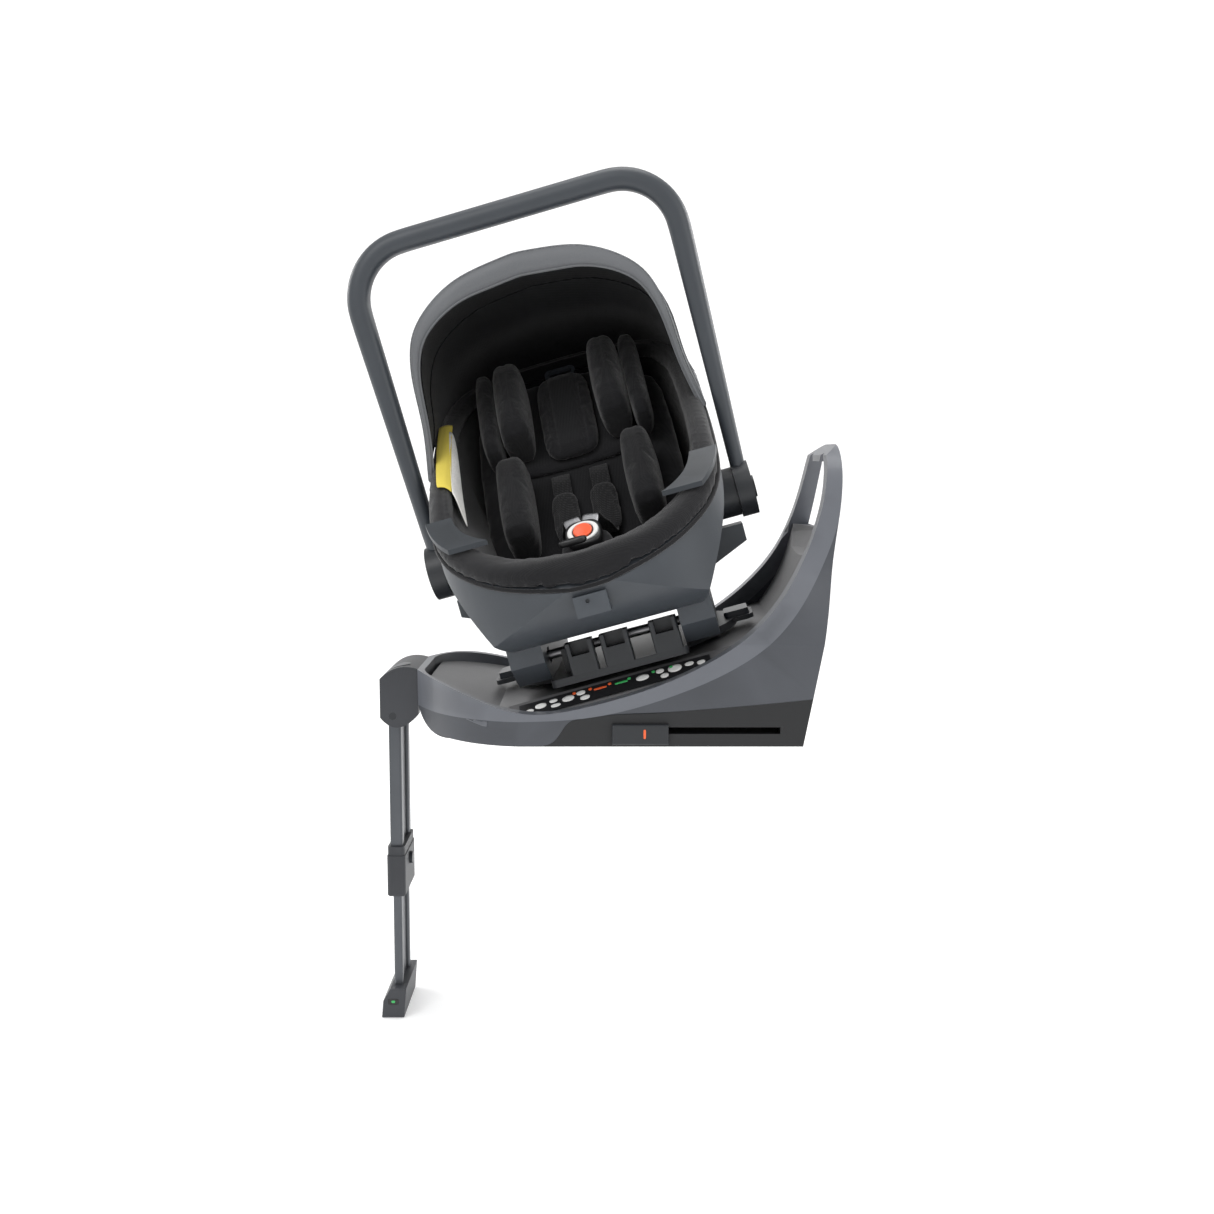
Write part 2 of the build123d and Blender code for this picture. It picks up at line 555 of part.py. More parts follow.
CUSHION_TOP = [(-240, 122), (-165, 142), (-100, 127), BACK_FOOT]
cushion_side = smooth_outline(CUSHION_TOP, [BACK_FOOT, (-60, 40)], [(-60, 40), (-240, 40)],
                              [(-240, 40), CUSHION_TOP[0]])
below_rim = rim_strip(-1, 300, -400, 400)
seat_cushion = (across_x(cushion_side) & liner_tub) - below_rim
keep(seat_cushion, "seat_cushion", SEAT)
back_top = back_frame(330).origin
back_side = smooth_outline([(BACK_FOOT[0] + 0.3, BACK_FOOT[1]), (back_top.Y, back_top.Z)],
                           [(back_top.Y, back_top.Z), (320, 330)], [(320, 330), (320, 40)],
                           [(320, 40), (BACK_FOOT[0] + 0.3, 40)], [(BACK_FOOT[0] + 0.3, 40),
                                                                  (BACK_FOOT[0] + 0.3, BACK_FOOT[1])])
back_cushion = (across_x(back_side) & liner_tub) - below_rim
keep(back_cushion, "back_cushion", SEAT)

# the cover's sides lean in towards the seat, from the rim down to the cushion
lean = [(166, 250), (120, 158), (120, 100), (166, 100)]
with BuildPart() as cover:
    add(liner.part)
    for side in (-1, 1):
        with BuildSketch(Plane.XZ.offset(-130)):
            with BuildLine():
                Polyline(*[(side * x, z) for x, z in lean], close=True)
            make_face()
        extrude(amount=310)
    add(inner_tub - below_rim, mode=Mode.INTERSECT)
    add(seat_cushion, mode=Mode.SUBTRACT)
    add(back_cushion, mode=Mode.SUBTRACT)
keep(max(cover.part.solids(), key=lambda solid: solid.volume), "seat_liner", SEAT)

HEADREST_START, HEADREST_TOP = 156, 345
BOLSTER_TOP = 155
for side, hand in ((-1, "left"), (1, "right")):
    x0, x1 = sorted((side * 60, side * 106))
    keep(back_block(x0, x1, 8, BOLSTER_TOP, 0.5, 74, 14), f"body_bolster_{hand}", SEAT)
    pad_x, strap_x = sorted((side * 8, side * 44)), sorted((side * 14, side * 38))
    with BuildPart() as harness:
        add(back_block(*pad_x, 22, 112, 6, 17, 8))
        add(back_block(*strap_x, 108, 150, 8, 10))
    keep(harness.part, f"harness_{hand}", SEAT)

buckle_plane = Plane((0, -150, 158), x_dir=(1, 0, 0), z_dir=(0, -0.64, 0.77))
with BuildPart() as buckle:
    with BuildSketch(buckle_plane):
        RectangleRounded(46, 44, 12)
    extrude(amount=14)
    with BuildSketch(buckle_plane.offset(14)):
        Circle(12.4)
    extrude(amount=-5, mode=Mode.SUBTRACT)
    add(block(-14, 14, -148, -144, 128, 162) - seat_cushion)
keep(max(buckle.part.solids(), key=lambda solid: solid.volume), "buckle_body", SEAT)
with BuildPart() as buckle_button:
    with BuildSketch(buckle_plane.offset(12)):
        Circle(12)
    extrude(amount=4)
keep(buckle_button.part, "buckle_button", SEAT)
keep(block(-28, 6, -210, -192, 156, 166, 4), "harness_adjuster_button", SEAT)

# ---- headrest -----------------------------------------------------------------------------------
keep(back_block(-104, 104, HEADREST_START, HEADREST_TOP, 0.6, 12, 20), "headrest_plate", SEAT)
keep(back_block(-42, 42, HEADREST_START + 6, HEADREST_TOP - 12, 12, 30, 16), "headrest_pad", SEAT)
for side, hand in ((-1, "left"), (1, "right")):
    front_x, side_x = sorted((side * 44, side * 90)), sorted((side * 88, side * 116))
    with BuildPart() as wing:
        add(back_block(*front_x, HEADREST_START + 20, HEADREST_TOP - 14, 12, 92, 10))
        add(back_block(*side_x, HEADREST_START + 10, HEADREST_TOP - 8, 12, 76, 10))
    keep(wing.part, f"headrest_wing_{hand}", SEAT)
with BuildPart() as grip:
    with BuildSketch(back_frame(n=3)):
        with Locations((0, HEADREST_TOP + 8)):
            RectangleRounded(44, 20, 8)
            RectangleRounded(34, 11, 4, mode=Mode.SUBTRACT)
    extrude(amount=6)
    add(back_block(-104, 104, HEADREST_START, HEADREST_TOP, 0.6, 12, 20), mode=Mode.SUBTRACT)
keep(max(grip.part.solids(), key=lambda solid: solid.volume), "headrest_grip", SEAT)

# ---- canopy: sections of revolution about the hub axis ------------------------------------------
HUB_AXIS = Axis((0, HUB_Y, HUB_Z), (1, 0, 0))
CANOPY_WALL = 5
BOW_RING = 38


def canopy_arch(reach, half_width, foot):
    """Half-ring arch across the carrier, as (x, radius from the hub axis)."""
    half = [(half_width, foot), (half_width, 0.72 * reach), (0.86 * half_width, 0.86 * reach),
            (0.5 * half_width, 0.965 * reach), (0, reach)]
    right = half[1:-1]
    left = mirrored(right)[::-1]
    return smooth_outline([half[0], half[1]], right + [half[-1]] + left,
                          [left[-1], (-half_width, foot)], [(-half_width, foot), half[0]])


def canopy_section(reach, half_width, foot, start, sweep):
    """Arch wall swept about the hub axis from start degrees behind vertical."""
    with BuildPart() as section:
        with BuildSketch(Plane((0, HUB_Y, HUB_Z), x_dir=(1, 0, 0), z_dir=(0, -1, 0))):
            add(canopy_arch(reach, half_width, foot))
            add(canopy_arch(reach - CANOPY_WALL, half_width - CANOPY_WALL, foot - 10), mode=Mode.SUBTRACT)
        revolve(axis=HUB_AXIS, revolution_arc=-sweep)
    return section.part.rotate(HUB_AXIS, -start)


FRONT_REACH, FRONT_HALF_WIDTH = CANOPY_REACH - 3, CANOPY_HALF_WIDTH - 2
REAR_REACH, REAR_HALF_WIDTH = FRONT_REACH + 6, FRONT_HALF_WIDTH + 5.6
BOW_SPAN, FRONT_SPAN, OVERLAP_START, REAR_SPAN = 3.8, 15, 14.5, 22
bow = canopy_section(FRONT_REACH, FRONT_HALF_WIDTH, 196, -2, BOW_SPAN)
with BuildPart() as canopy_bow:
    add(bow)
    for side in (-1, 1):
        x0, x1 = sorted((side * BOW_X0, side * BOW_X1))
        add(disc(BOW_RING, x0, x1, HUB_Y, HUB_Z, bore=HUB_RADIUS + 0.06))
        add(block(x0, x1, HUB_Y - 5, HUB_Y + 5, HUB_Z + HUB_RADIUS + 2, HUB_Z + 198))
        x0, x1 = sorted((side * (FRONT_HALF_WIDTH - CANOPY_WALL), side * BOW_X1))
        add(block(x0, x1, HUB_Y - 5, HUB_Y + 5, HUB_Z + 194, HUB_Z + 200))
keep(canopy_bow.part, "canopy_bow", SEAT)
keep(canopy_section(FRONT_REACH, FRONT_HALF_WIDTH, 204, 2, FRONT_SPAN - 2), "canopy_front", SEAT)
pad_clearance = rim_strip(-100, PAD_HEIGHT + 0.5, -400, 400)
keep(canopy_section(REAR_REACH, REAR_HALF_WIDTH, 215, OVERLAP_START, REAR_SPAN) - pad_clearance,
     "canopy_middle", SEAT)
rear_angle = radians(OVERLAP_START + REAR_SPAN)


def at_angle(radius):
    return HUB_Y + radius * sin(rear_angle), HUB_Z + radius * cos(rear_angle)


def rear_shell(drop):
    """Back of the canopy, closing down to the tub's tail."""
    low = at_angle(256 - 20 * drop)
    top = at_angle(REAR_REACH - drop)
    tail = (268 - drop, 396 - 20 * drop)
    runs = [[low, top], [top, (232, 424 - drop), (268 - drop, 396)], [tail, low]]
    if drop:
        runs.insert(2, [(268 - drop, 396), tail])
    side = smooth_outline(*runs)
    arch = [(REAR_HALF_WIDTH - drop, 300), (REAR_HALF_WIDTH - drop, 372), (0.8 * REAR_HALF_WIDTH, 412 - drop),
            (0.45 * REAR_HALF_WIDTH, 444 - drop), (0, top[1])]
    left = mirrored(arch)[::-1]
    front = smooth_outline(arch + left[1:-1] + [left[-1]], [left[-1], arch[0]])
    return across_x(side) & across(front, 330, Plane.XZ)


with BuildPart() as canopy_rear:
    add(rear_shell(0) - rear_shell(CANOPY_WALL))
    add(pad_clearance, mode=Mode.SUBTRACT)
keep(max(canopy_rear.part.solids(), key=lambda solid: solid.volume), "canopy_rear", SEAT)

# ---- handle -------------------------------------------------------------------------------------
HANDLE_INNER = HANDLE_HALF_WIDTH - HANDLE_THICK


def handle_face(foot, half_top, top, corner):
    """Tall face from the hubs' height to top, wider at the top, with its two upper corners rounded."""
    with BuildSketch(mode=Mode.PRIVATE) as face:
        with BuildLine():
            Polyline((-foot, HUB_Z), (foot, HUB_Z), (half_top, top), (-half_top, top), close=True)
        make_face()
        fillet(face.vertices().group_by(Axis.Y)[-1], corner)
    return face.sketch


with BuildPart() as handle:
    with BuildSketch(Plane.XZ.offset(-HUB_Y - HANDLE_DEEP / 2)):
        half_top = HANDLE_HALF_WIDTH + HANDLE_FLARE
        add(handle_face(HANDLE_HALF_WIDTH, half_top, HANDLE_TOP_Z, HANDLE_CORNER))
        add(handle_face(HANDLE_INNER, half_top - HANDLE_TOP_THICK, HANDLE_TOP_Z - HANDLE_DEEP,
                        HANDLE_CORNER - HANDLE_TOP_THICK), mode=Mode.SUBTRACT)
    extrude(amount=HANDLE_DEEP)
    for side in (-1, 1):
        x0, x1 = sorted((side * (HANDLE_INNER - 2), side * (HANDLE_HALF_WIDTH + 2)))
        add(disc(HUB_RADIUS + 3.4, x0, x1, HUB_Y, HUB_Z), mode=Mode.SUBTRACT)
keep(max(handle.part.solids(), key=lambda solid: solid.volume), "handle_bar", SEAT)
for side, hand in ((-1, "left"), (1, "right")):
    with BuildPart() as cover:
        add(disc(HUB_RADIUS + 3.4, side * HANDLE_INNER, side * 213, HUB_Y, HUB_Z))
        add(disc(HUB_PIN_RADIUS + 0.06, side * 180, side * 205, HUB_Y, HUB_Z), mode=Mode.SUBTRACT)
        add(disc(14.4, side * 208, side * 230, HUB_Y, HUB_Z), mode=Mode.SUBTRACT)
    keep(cover.part, f"handle_hub_{hand}", SEAT)
    keep(disc(14, side * 210.8, side * 216, HUB_Y, HUB_Z), f"handle_button_{hand}", SEAT)
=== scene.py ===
import bpy
import bmesh
import json
from math import atan, atan2, cos, exp, pi, radians, sin, sqrt
from mathutils import Matrix, Vector, kdtree


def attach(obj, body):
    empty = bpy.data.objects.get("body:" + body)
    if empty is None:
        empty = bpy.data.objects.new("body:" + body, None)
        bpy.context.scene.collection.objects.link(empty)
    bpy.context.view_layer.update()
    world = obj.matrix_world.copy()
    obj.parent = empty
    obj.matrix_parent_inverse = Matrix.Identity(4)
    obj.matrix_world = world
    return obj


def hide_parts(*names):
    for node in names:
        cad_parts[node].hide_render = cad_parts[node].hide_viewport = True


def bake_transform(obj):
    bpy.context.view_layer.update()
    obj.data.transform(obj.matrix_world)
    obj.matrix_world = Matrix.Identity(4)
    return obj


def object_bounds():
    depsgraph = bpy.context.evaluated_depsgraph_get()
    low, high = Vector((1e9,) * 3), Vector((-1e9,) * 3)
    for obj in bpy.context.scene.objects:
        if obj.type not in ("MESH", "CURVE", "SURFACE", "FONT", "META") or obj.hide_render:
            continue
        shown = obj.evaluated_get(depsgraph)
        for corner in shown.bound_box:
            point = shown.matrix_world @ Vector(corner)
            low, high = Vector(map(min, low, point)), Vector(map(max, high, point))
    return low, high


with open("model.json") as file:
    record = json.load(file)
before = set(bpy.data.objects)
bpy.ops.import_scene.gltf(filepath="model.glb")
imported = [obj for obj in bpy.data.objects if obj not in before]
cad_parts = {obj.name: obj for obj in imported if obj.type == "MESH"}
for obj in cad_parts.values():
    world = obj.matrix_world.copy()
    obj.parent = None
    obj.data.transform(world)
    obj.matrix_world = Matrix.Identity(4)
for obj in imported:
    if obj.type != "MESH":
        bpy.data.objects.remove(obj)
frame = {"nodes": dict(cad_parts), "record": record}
cad_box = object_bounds()
nodes = frame["nodes"]
MM = 0.001

# ---- frames -------------------------------------------------------------------------------------
joints = {joint["name"]: joint for joint in frame["record"]["behaviour"]["joints"]}
across_axis = Vector(joints["handle_swing"]["axis"])
up_axis = Vector(joints["carrier_lift"]["axis"])
back_axis = up_axis.cross(across_axis)
platform = Vector(joints["swivel"]["pos_m"])
SEAT = Matrix.Translation(platform) @ Matrix((
    (across_axis.x, back_axis.x, up_axis.x, 0), (across_axis.y, back_axis.y, up_axis.y, 0),
    (across_axis.z, back_axis.z, up_axis.z, 0), (0, 0, 0, 1)))
hub = SEAT.inverted() @ Vector(joints["handle_swing"]["pos_m"])
HUB_Y, HUB_Z = hub.y / MM, hub.z / MM
SIDES = ((-1, "left"), (1, "right"))


def seat(x, y, z):
    """World point of a carrier point in millimetres: x across, y to the back, z up from the platform."""
    return SEAT @ Vector((x * MM, y * MM, z * MM))


# ---- mesh helpers -------------------------------------------------------------------------------
def mesh_object(name, points, faces, body):
    """Smooth-shaded piece from world points, riding on a body."""
    data = bpy.data.meshes.new(name)
    data.from_pydata(points, [], faces)
    piece = bpy.data.objects.new(name, data)
    bpy.context.scene.collection.objects.link(piece)
    shape = bmesh.new()
    shape.from_mesh(data)
    bmesh.ops.remove_doubles(shape, verts=shape.verts, dist=1e-6)
    bmesh.ops.recalc_face_normals(shape, faces=shape.faces)
    shape.to_mesh(data)
    shape.free()
    data.shade_smooth()
    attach(piece, body)
    return piece


def apply_modifiers(piece):
    """Bake the piece's modifiers into its mesh."""
    graph = bpy.context.evaluated_depsgraph_get()
    baked = bpy.data.meshes.new_from_object(piece.evaluated_get(graph))
    piece.modifiers.clear()
    piece.data = baked
    return piece


def subdivide(piece, levels=1):
    step = piece.modifiers.new("subdivide", "SUBSURF")
    step.levels = step.render_levels = levels
    return apply_modifiers(piece)


def loft(name, rings, body, closed_ring=True, closed_path=False, caps=True, levels=1):
    """Skin a list of rings of world points, each with the same count."""
    count = len(rings[0])
    points = [point for ring in rings for point in ring]
    faces = []
    spans = len(rings) if closed_path else len(rings) - 1
    edges = count if closed_ring else count - 1
    for i in range(spans):
        a, b = i * count, ((i + 1) % len(rings)) * count
        for j in range(edges):
            k = (j + 1) % count
            faces.append((a + j, a + k, b + k, b + j))
    if caps and closed_ring and not closed_path:
        faces.append(tuple(range(count)))
        faces.append(tuple(reversed(range((len(rings) - 1) * count, len(rings) * count))))
    piece = mesh_object(name, points, faces, body)
    return subdivide(piece, levels) if levels else piece


def curve_points(control, count):
    """Evenly counted samples of a smooth curve through control points of any dimension."""
    samples = []
    last = len(control) - 1
    for i in range(count):
        t = i / (count - 1) * last
        k = min(int(t), last - 1)
        f = t - k
        p = [control[max(k - 1, 0)], control[k], control[k + 1], control[min(k + 2, last)]]
        samples.append(tuple(
            0.5 * (2 * b + (c - a) * f + (2 * a - 5 * b + 4 * c - d) * f ** 2
                   + (3 * b - a - 3 * c + d) * f ** 3)
            for a, b, c, d in zip(*p)))
    return samples


def between(table, key):
    """Linear reading of a table of (key, value) pairs."""
    if key <= table[0][0]:
        return table[0][1]
    for (a, va), (b, vb) in zip(table, table[1:]):
        if key <= b:
            return va + (vb - va) * (key - a) / (b - a)
    return table[-1][1]


# ---- camera, light and floor --------------------------------------------------------------------
PHOTO_SIZE = 1214             # pixels each way
FOCAL_PIXELS = 1461
AIM_DOWN_PIXELS = 152         # the level line stands this far above the picture's middle
CAMERA_PLACE = (0, -1.9, 0.34)
SENSOR = 36
camera_data = bpy.data.cameras.new("camera")
camera_data.sensor_width = SENSOR
camera_data.lens = SENSOR * FOCAL_PIXELS / PHOTO_SIZE
camera_data.clip_end = 20
camera = bpy.data.objects.new("camera", camera_data)
bpy.context.scene.collection.objects.link(camera)
camera.location = CAMERA_PLACE
camera.rotation_euler = (pi / 2 - atan(AIM_DOWN_PIXELS / FOCAL_PIXELS), 0, 0)
bpy.context.scene.camera = camera


LIGHT_TARGET = Vector((0, 0, 0.2))


def area_light(name, place, size, power):
    """Round soft light that faces the seat: size in metres, power in watts."""
    data = bpy.data.lights.new(name, "AREA")
    data.shape = "DISK"
    data.size = size
    data.energy = power
    light = bpy.data.objects.new(name, data)
    light.location = place
    light.rotation_euler = (LIGHT_TARGET - Vector(place)).to_track_quat("-Z", "Y").to_euler()
    bpy.context.scene.collection.objects.link(light)


area_light("key", (-1.6, -2.2, 2.4), 1.8, 34)
area_light("fill", (2.2, -1.6, 1.4), 2.2, 18)
area_light("top", (0, 0.4, 3.0), 2.0, 34)
area_light("rim_left", (-2.4, 1.2, 1.2), 1.2, 22)
area_light("rim_right", (2.2, 1.6, 1.6), 1.2, 26)
world = bpy.data.worlds.new("studio")
world.use_nodes = True
sky = world.node_tree.nodes["Background"]
sky.inputs["Color"].default_value = (1, 1, 1, 1)
sky.inputs["Strength"].default_value = 0.75
bpy.context.scene.world = world
bpy.context.scene.view_settings.view_transform = "Standard"


def floor():
    """Pale floor under the support leg that curves up into a backdrop."""
    z = cad_box[0][2] - 0.001
    profile = [(-4.0, z), (3.0, z), (3.8, z + 0.15), (4.3, z + 0.7), (4.5, z + 1.5), (4.5, z + 4.5)]
    rings = [[Vector((x, y, h)) for x in (-6, 6)] for y, h in profile]
    data = bpy.data.meshes.new("floor")
    points = [p for ring in rings for p in ring]
    data.from_pydata(points, [], [(2 * i, 2 * i + 1, 2 * i + 3, 2 * i + 2) for i in range(len(rings) - 1)])
    ground = bpy.data.objects.new("floor", data)
    bpy.context.scene.collection.objects.link(ground)
    data.shade_smooth()
    return ground


# ---- materials ----------------------------------------------------------------------------------
def new_material(name):
    material = bpy.data.materials.new(name)
    material.use_nodes = True
    return material, material.node_tree.nodes, material.node_tree.links


def set_inputs(node, **values):
    """Give a node's inputs their values, each named with underscores for its spaces."""
    for key, value in values.items():
        node.inputs[key.replace("_", " ")].default_value = value


def add_node(tree, kind, **values):
    node = tree.new("ShaderNode" + kind)
    set_inputs(node, **values)
    return node


def add_maths(tree, links, operation, *terms):
    """Output of a sum or product of sockets and plain numbers."""
    node = add_node(tree, "Math")
    node.operation = operation
    for slot, term in zip(node.inputs, terms):
        if isinstance(term, (int, float)):
            slot.default_value = term
        else:
            links.new(term, slot)
    return node.outputs[0]


def add_tone(tree, colour, low, high, darkest, lightest):
    """Ramp between a darker and a lighter share of a colour, from position low to high."""
    tone = add_node(tree, "ValToRGB")
    for stop, place, share in zip(tone.color_ramp.elements, (low, high), (darkest, lightest)):
        stop.position = place
        stop.color = [min(c * share, 1) for c in colour] + [1]
    return tone


def grained(name, colour, roughness=0.45, grain=900, bump=0.12, variation=0.08, coat=0.0, metallic=0.0):
    """Moulded plastic: fine grain, slight tone and gloss variation, edges a touch lighter from wear."""
    material, tree, links = new_material(name)
    shader = tree["Principled BSDF"]
    set_inputs(shader, Metallic=metallic, Coat_Weight=coat)
    place = add_node(tree, "TexCoord")
    cloud = add_node(tree, "TexNoise", Scale=14, Detail=4)
    fine = add_node(tree, "TexNoise", Scale=grain, Detail=2)
    links.new(place.outputs["Object"], cloud.inputs["Vector"])
    links.new(place.outputs["Object"], fine.inputs["Vector"])
    tone = add_tone(tree, colour, 0.3, 0.7, 1 - variation, 1 + variation)
    links.new(cloud.outputs["Fac"], tone.inputs["Fac"])
    edges = add_node(tree, "NewGeometry")
    wear = add_node(tree, "MapRange", From_Min=0.53, From_Max=0.62, To_Max=0.35)
    links.new(edges.outputs["Pointiness"], wear.inputs["Value"])
    mix = add_node(tree, "Mix")
    mix.data_type = "RGBA"
    links.new(wear.outputs["Result"], mix.inputs["Factor"])
    links.new(tone.outputs["Color"], mix.inputs["A"])
    mix.inputs["B"].default_value = [min(c * 1.7 + 0.01, 1) for c in colour] + [1]
    links.new(mix.outputs["Result"], shader.inputs["Base Color"])
    gloss = add_node(tree, "MapRange", To_Min=roughness - 0.05, To_Max=roughness + 0.07)
    links.new(fine.outputs["Fac"], gloss.inputs["Value"])
    links.new(gloss.outputs["Result"], shader.inputs["Roughness"])
    relief = add_node(tree, "Bump", Strength=bump, Distance=0.0004)
    links.new(fine.outputs["Fac"], relief.inputs["Height"])
    links.new(relief.outputs["Normal"], shader.inputs["Normal"])
    return material


def woven(name, colour, threads=1500, sheen=0.25, roughness=0.85, variation=0.25, bump=0.35, melange=0.0):
    """Knitted or woven cloth: crossing threads, soft sheen, slow colour drift and optional flecks."""
    material, tree, links = new_material(name)
    shader = tree["Principled BSDF"]
    set_inputs(shader, Roughness=roughness, Sheen_Weight=sheen, Sheen_Roughness=0.45,
               Specular_IOR_Level=0.25)
    place = add_node(tree, "TexCoord")
    heights = []
    for direction in ("X", "Y", "Z"):
        wave = add_node(tree, "TexWave", Scale=threads / 6.3, Distortion=0.6, Detail=1)
        wave.bands_direction = direction
        links.new(place.outputs["Object"], wave.inputs["Vector"])
        heights.append(wave.outputs["Fac"])
    crossed = add_maths(tree, links, "MULTIPLY", heights[0], heights[2])
    threads_height = add_maths(tree, links, "ADD", crossed, heights[1])
    cloud = add_node(tree, "TexNoise", Scale=9, Detail=6)
    links.new(place.outputs["Object"], cloud.inputs["Vector"])
    fleck = add_node(tree, "TexNoise", Scale=520, Detail=3)
    links.new(place.outputs["Object"], fleck.inputs["Vector"])
    blend = add_node(tree, "Mix", Factor=min(0.35 + melange, 0.9))
    links.new(cloud.outputs["Fac"], blend.inputs["A"])
    links.new(fleck.outputs["Fac"], blend.inputs["B"])
    tone = add_tone(tree, colour, 0.38, 0.62, 1 - variation - 0.4 * melange, 1 + variation + 0.5 * melange)
    links.new(blend.outputs["Result"], tone.inputs["Fac"])
    links.new(tone.outputs["Color"], shader.inputs["Base Color"])
    relief = add_node(tree, "Bump", Strength=bump, Distance=0.0006)
    links.new(threads_height, relief.inputs["Height"])
    links.new(relief.outputs["Normal"], shader.inputs["Normal"])
    return material


FINISHES = {
    "base_plastic": grained("base plastic", (0.026, 0.028, 0.033), 0.48),
    "band_plastic": grained("band plastic", (0.088, 0.094, 0.108), 0.42, coat=0.1),
    "deck_plastic": grained("deck plastic", (0.115, 0.114, 0.118), 0.46),
    "strip": grained("strip film", (0.008, 0.008, 0.009), 0.3, bump=0.03),
    "shell_plastic": grained("shell plastic", (0.036, 0.042, 0.05), 0.44),
    "guide_plastic": grained("guide plastic", (0.013, 0.017, 0.022), 0.36),
    "leg_metal": grained("anodised metal", (0.075, 0.08, 0.088), 0.36, grain=1500, metallic=0.7),
    "steel": grained("dark zinc", (0.3, 0.3, 0.31), 0.35, metallic=0.9),
    "canopy_fabric": woven("canopy cloth", (0.13, 0.135, 0.143), melange=0.25),
    "buckle": grained("buckle plastic", (0.012, 0.012, 0.013), 0.35),
    "buckle_red": grained("button plastic", (0.9, 0.11, 0.03), 0.32, bump=0.05),
    "webbing": woven("webbing", (0.012, 0.012, 0.013), threads=900, bump=0.6),
    "cover_fabric": woven("cover cloth", (0.0088, 0.0088, 0.0102)),
}


RECESS_HEIGHT = 0.062         # top of the recess and its painted shade at the tall end, in metres above the underside


def housing_with_painted_shade(name, colour):
    """The lower tray's plastic, with painted shade darkening its sides' recess under a long rising edge."""
    material = grained(name, colour, 0.5)
    tree, links = material.node_tree.nodes, material.node_tree.links
    shader = tree["Principled BSDF"]
    place = add_node(tree, "TexCoord")
    split = add_node(tree, "SeparateXYZ")
    links.new(place.outputs["Object"], split.inputs["Vector"])
    along = add_node(tree, "MapRange", From_Min=-0.09, From_Max=0.27)
    links.new(split.outputs["X"], along.inputs["Value"])
    edge = add_node(tree, "FloatCurve")
    points = edge.mapping.curves[0].points
    points[0].location = (0, 0)
    points[1].location = (1, 0.95)
    for at in ((0.05, 0.02), (0.14, 0.5), (0.25, 0.6), (0.45, 0.66)):
        points.new(*at)
    edge.mapping.update()
    links.new(along.outputs["Result"], edge.inputs["Value"])
    height = add_maths(tree, links, "MULTIPLY", edge.outputs["Value"], RECESS_HEIGHT)
    below = add_maths(tree, links, "SUBTRACT", height, split.outputs["Z"])
    shade_mask = add_node(tree, "MapRange", From_Min=-0.0006, From_Max=0.0006)
    links.new(below, shade_mask.inputs["Value"])
    plain = shader.inputs["Base Color"].links[0].from_socket
    # painted shade: below the rising edge the colour falls to 0.13 of itself, standing in for shade in the
    # recess
    darker = add_node(tree, "Mix")
    darker.data_type = "RGBA"
    links.new(shade_mask.outputs["Result"], darker.inputs["Factor"])
    links.new(plain, darker.inputs["A"])
    darker.inputs["B"].default_value = [c * 0.13 for c in colour] + [1]
    links.new(darker.outputs["Result"], shader.inputs["Base Color"])
    step = add_node(tree, "Bump", Distance=0.002)
    step.invert = True
    links.new(shade_mask.outputs["Result"], step.inputs["Height"])
    links.new(shader.inputs["Normal"].links[0].from_socket, step.inputs["Normal"])
    links.new(step.outputs["Normal"], shader.inputs["Normal"])
    return material


LINING = woven("lining cloth", (0.007, 0.0075, 0.009), threads=1100, sheen=0.15)
WHITE = grained("white print", (0.82, 0.82, 0.8), 0.45, bump=0.04)
PAPER = woven("tag cloth", (0.8, 0.79, 0.76), threads=2200, bump=0.15, sheen=0.05)
ORANGE = grained("orange print", (0.85, 0.12, 0.03), 0.4, bump=0.04)
GREEN = grained("green print", (0.05, 0.45, 0.12), 0.4, bump=0.04)

DARK = grained("dark plastic", (0.012, 0.014, 0.017), 0.42)
DARK_NODES = ("hub_left", "hub_right", "handle_hub_left", "handle_hub_right", "handle_button_left",
              "handle_button_right", "anchor_slider_near", "anchor_slider_far", "turntable_plate",
              "dock_post_left", "dock_post_centre", "dock_post_right", "leg_pivot_pin", "turntable_bearing")
# the housing's material carries painted shade in its side recess
HOUSING = housing_with_painted_shade("housing plastic", (0.047, 0.051, 0.06))
slots = {entry["node"]: entry["material_slot"] for entry in frame["record"]["subparts"]}
for node, item in nodes.items():
    item.data.materials.clear()
    finish = DARK if node in DARK_NODES else FINISHES[slots[node]]
    item.data.materials.append(HOUSING if node == "base_lower_housing" else finish)


def dress(piece, slot, *node_names):
    """Give a new piece its finish and hide the CAD nodes it stands for."""
    piece.data.materials.clear()
    piece.data.materials.append(FINISHES[slot])
    if node_names:
        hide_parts(*node_names)
    return piece


# ---- soft pieces --------------------------------------------------------------------------------
CLOTH_FRAMES = 20
STITCH_REACH = 0.012          # farther than this from a seam the cloth is not drawn in, in metres
STITCH_WIDTH = 0.0035
waiting_pads = []


def puff(piece, cap, fill, voxel=5, seams=(), depth=2.2):
    """Remesh a closed pad and queue it for inflating and stitching: cap is the largest swell in mm."""
    remesh = piece.modifiers.new("remesh", "REMESH")
    remesh.mode = "VOXEL"
    remesh.voxel_size = voxel * MM
    apply_modifiers(piece)
    cloth = piece.modifiers.new("cloth", "CLOTH")
    cloth.settings.use_pressure = True
    cloth.settings.uniform_pressure_force = 4
    cloth.settings.effector_weights.gravity = 0
    cloth.settings.quality = 4
    cloth.collision_settings.use_collision = False
    cloth.point_cache.frame_end = CLOTH_FRAMES
    waiting_pads.append((piece, cap, fill, seams, depth))
    return piece


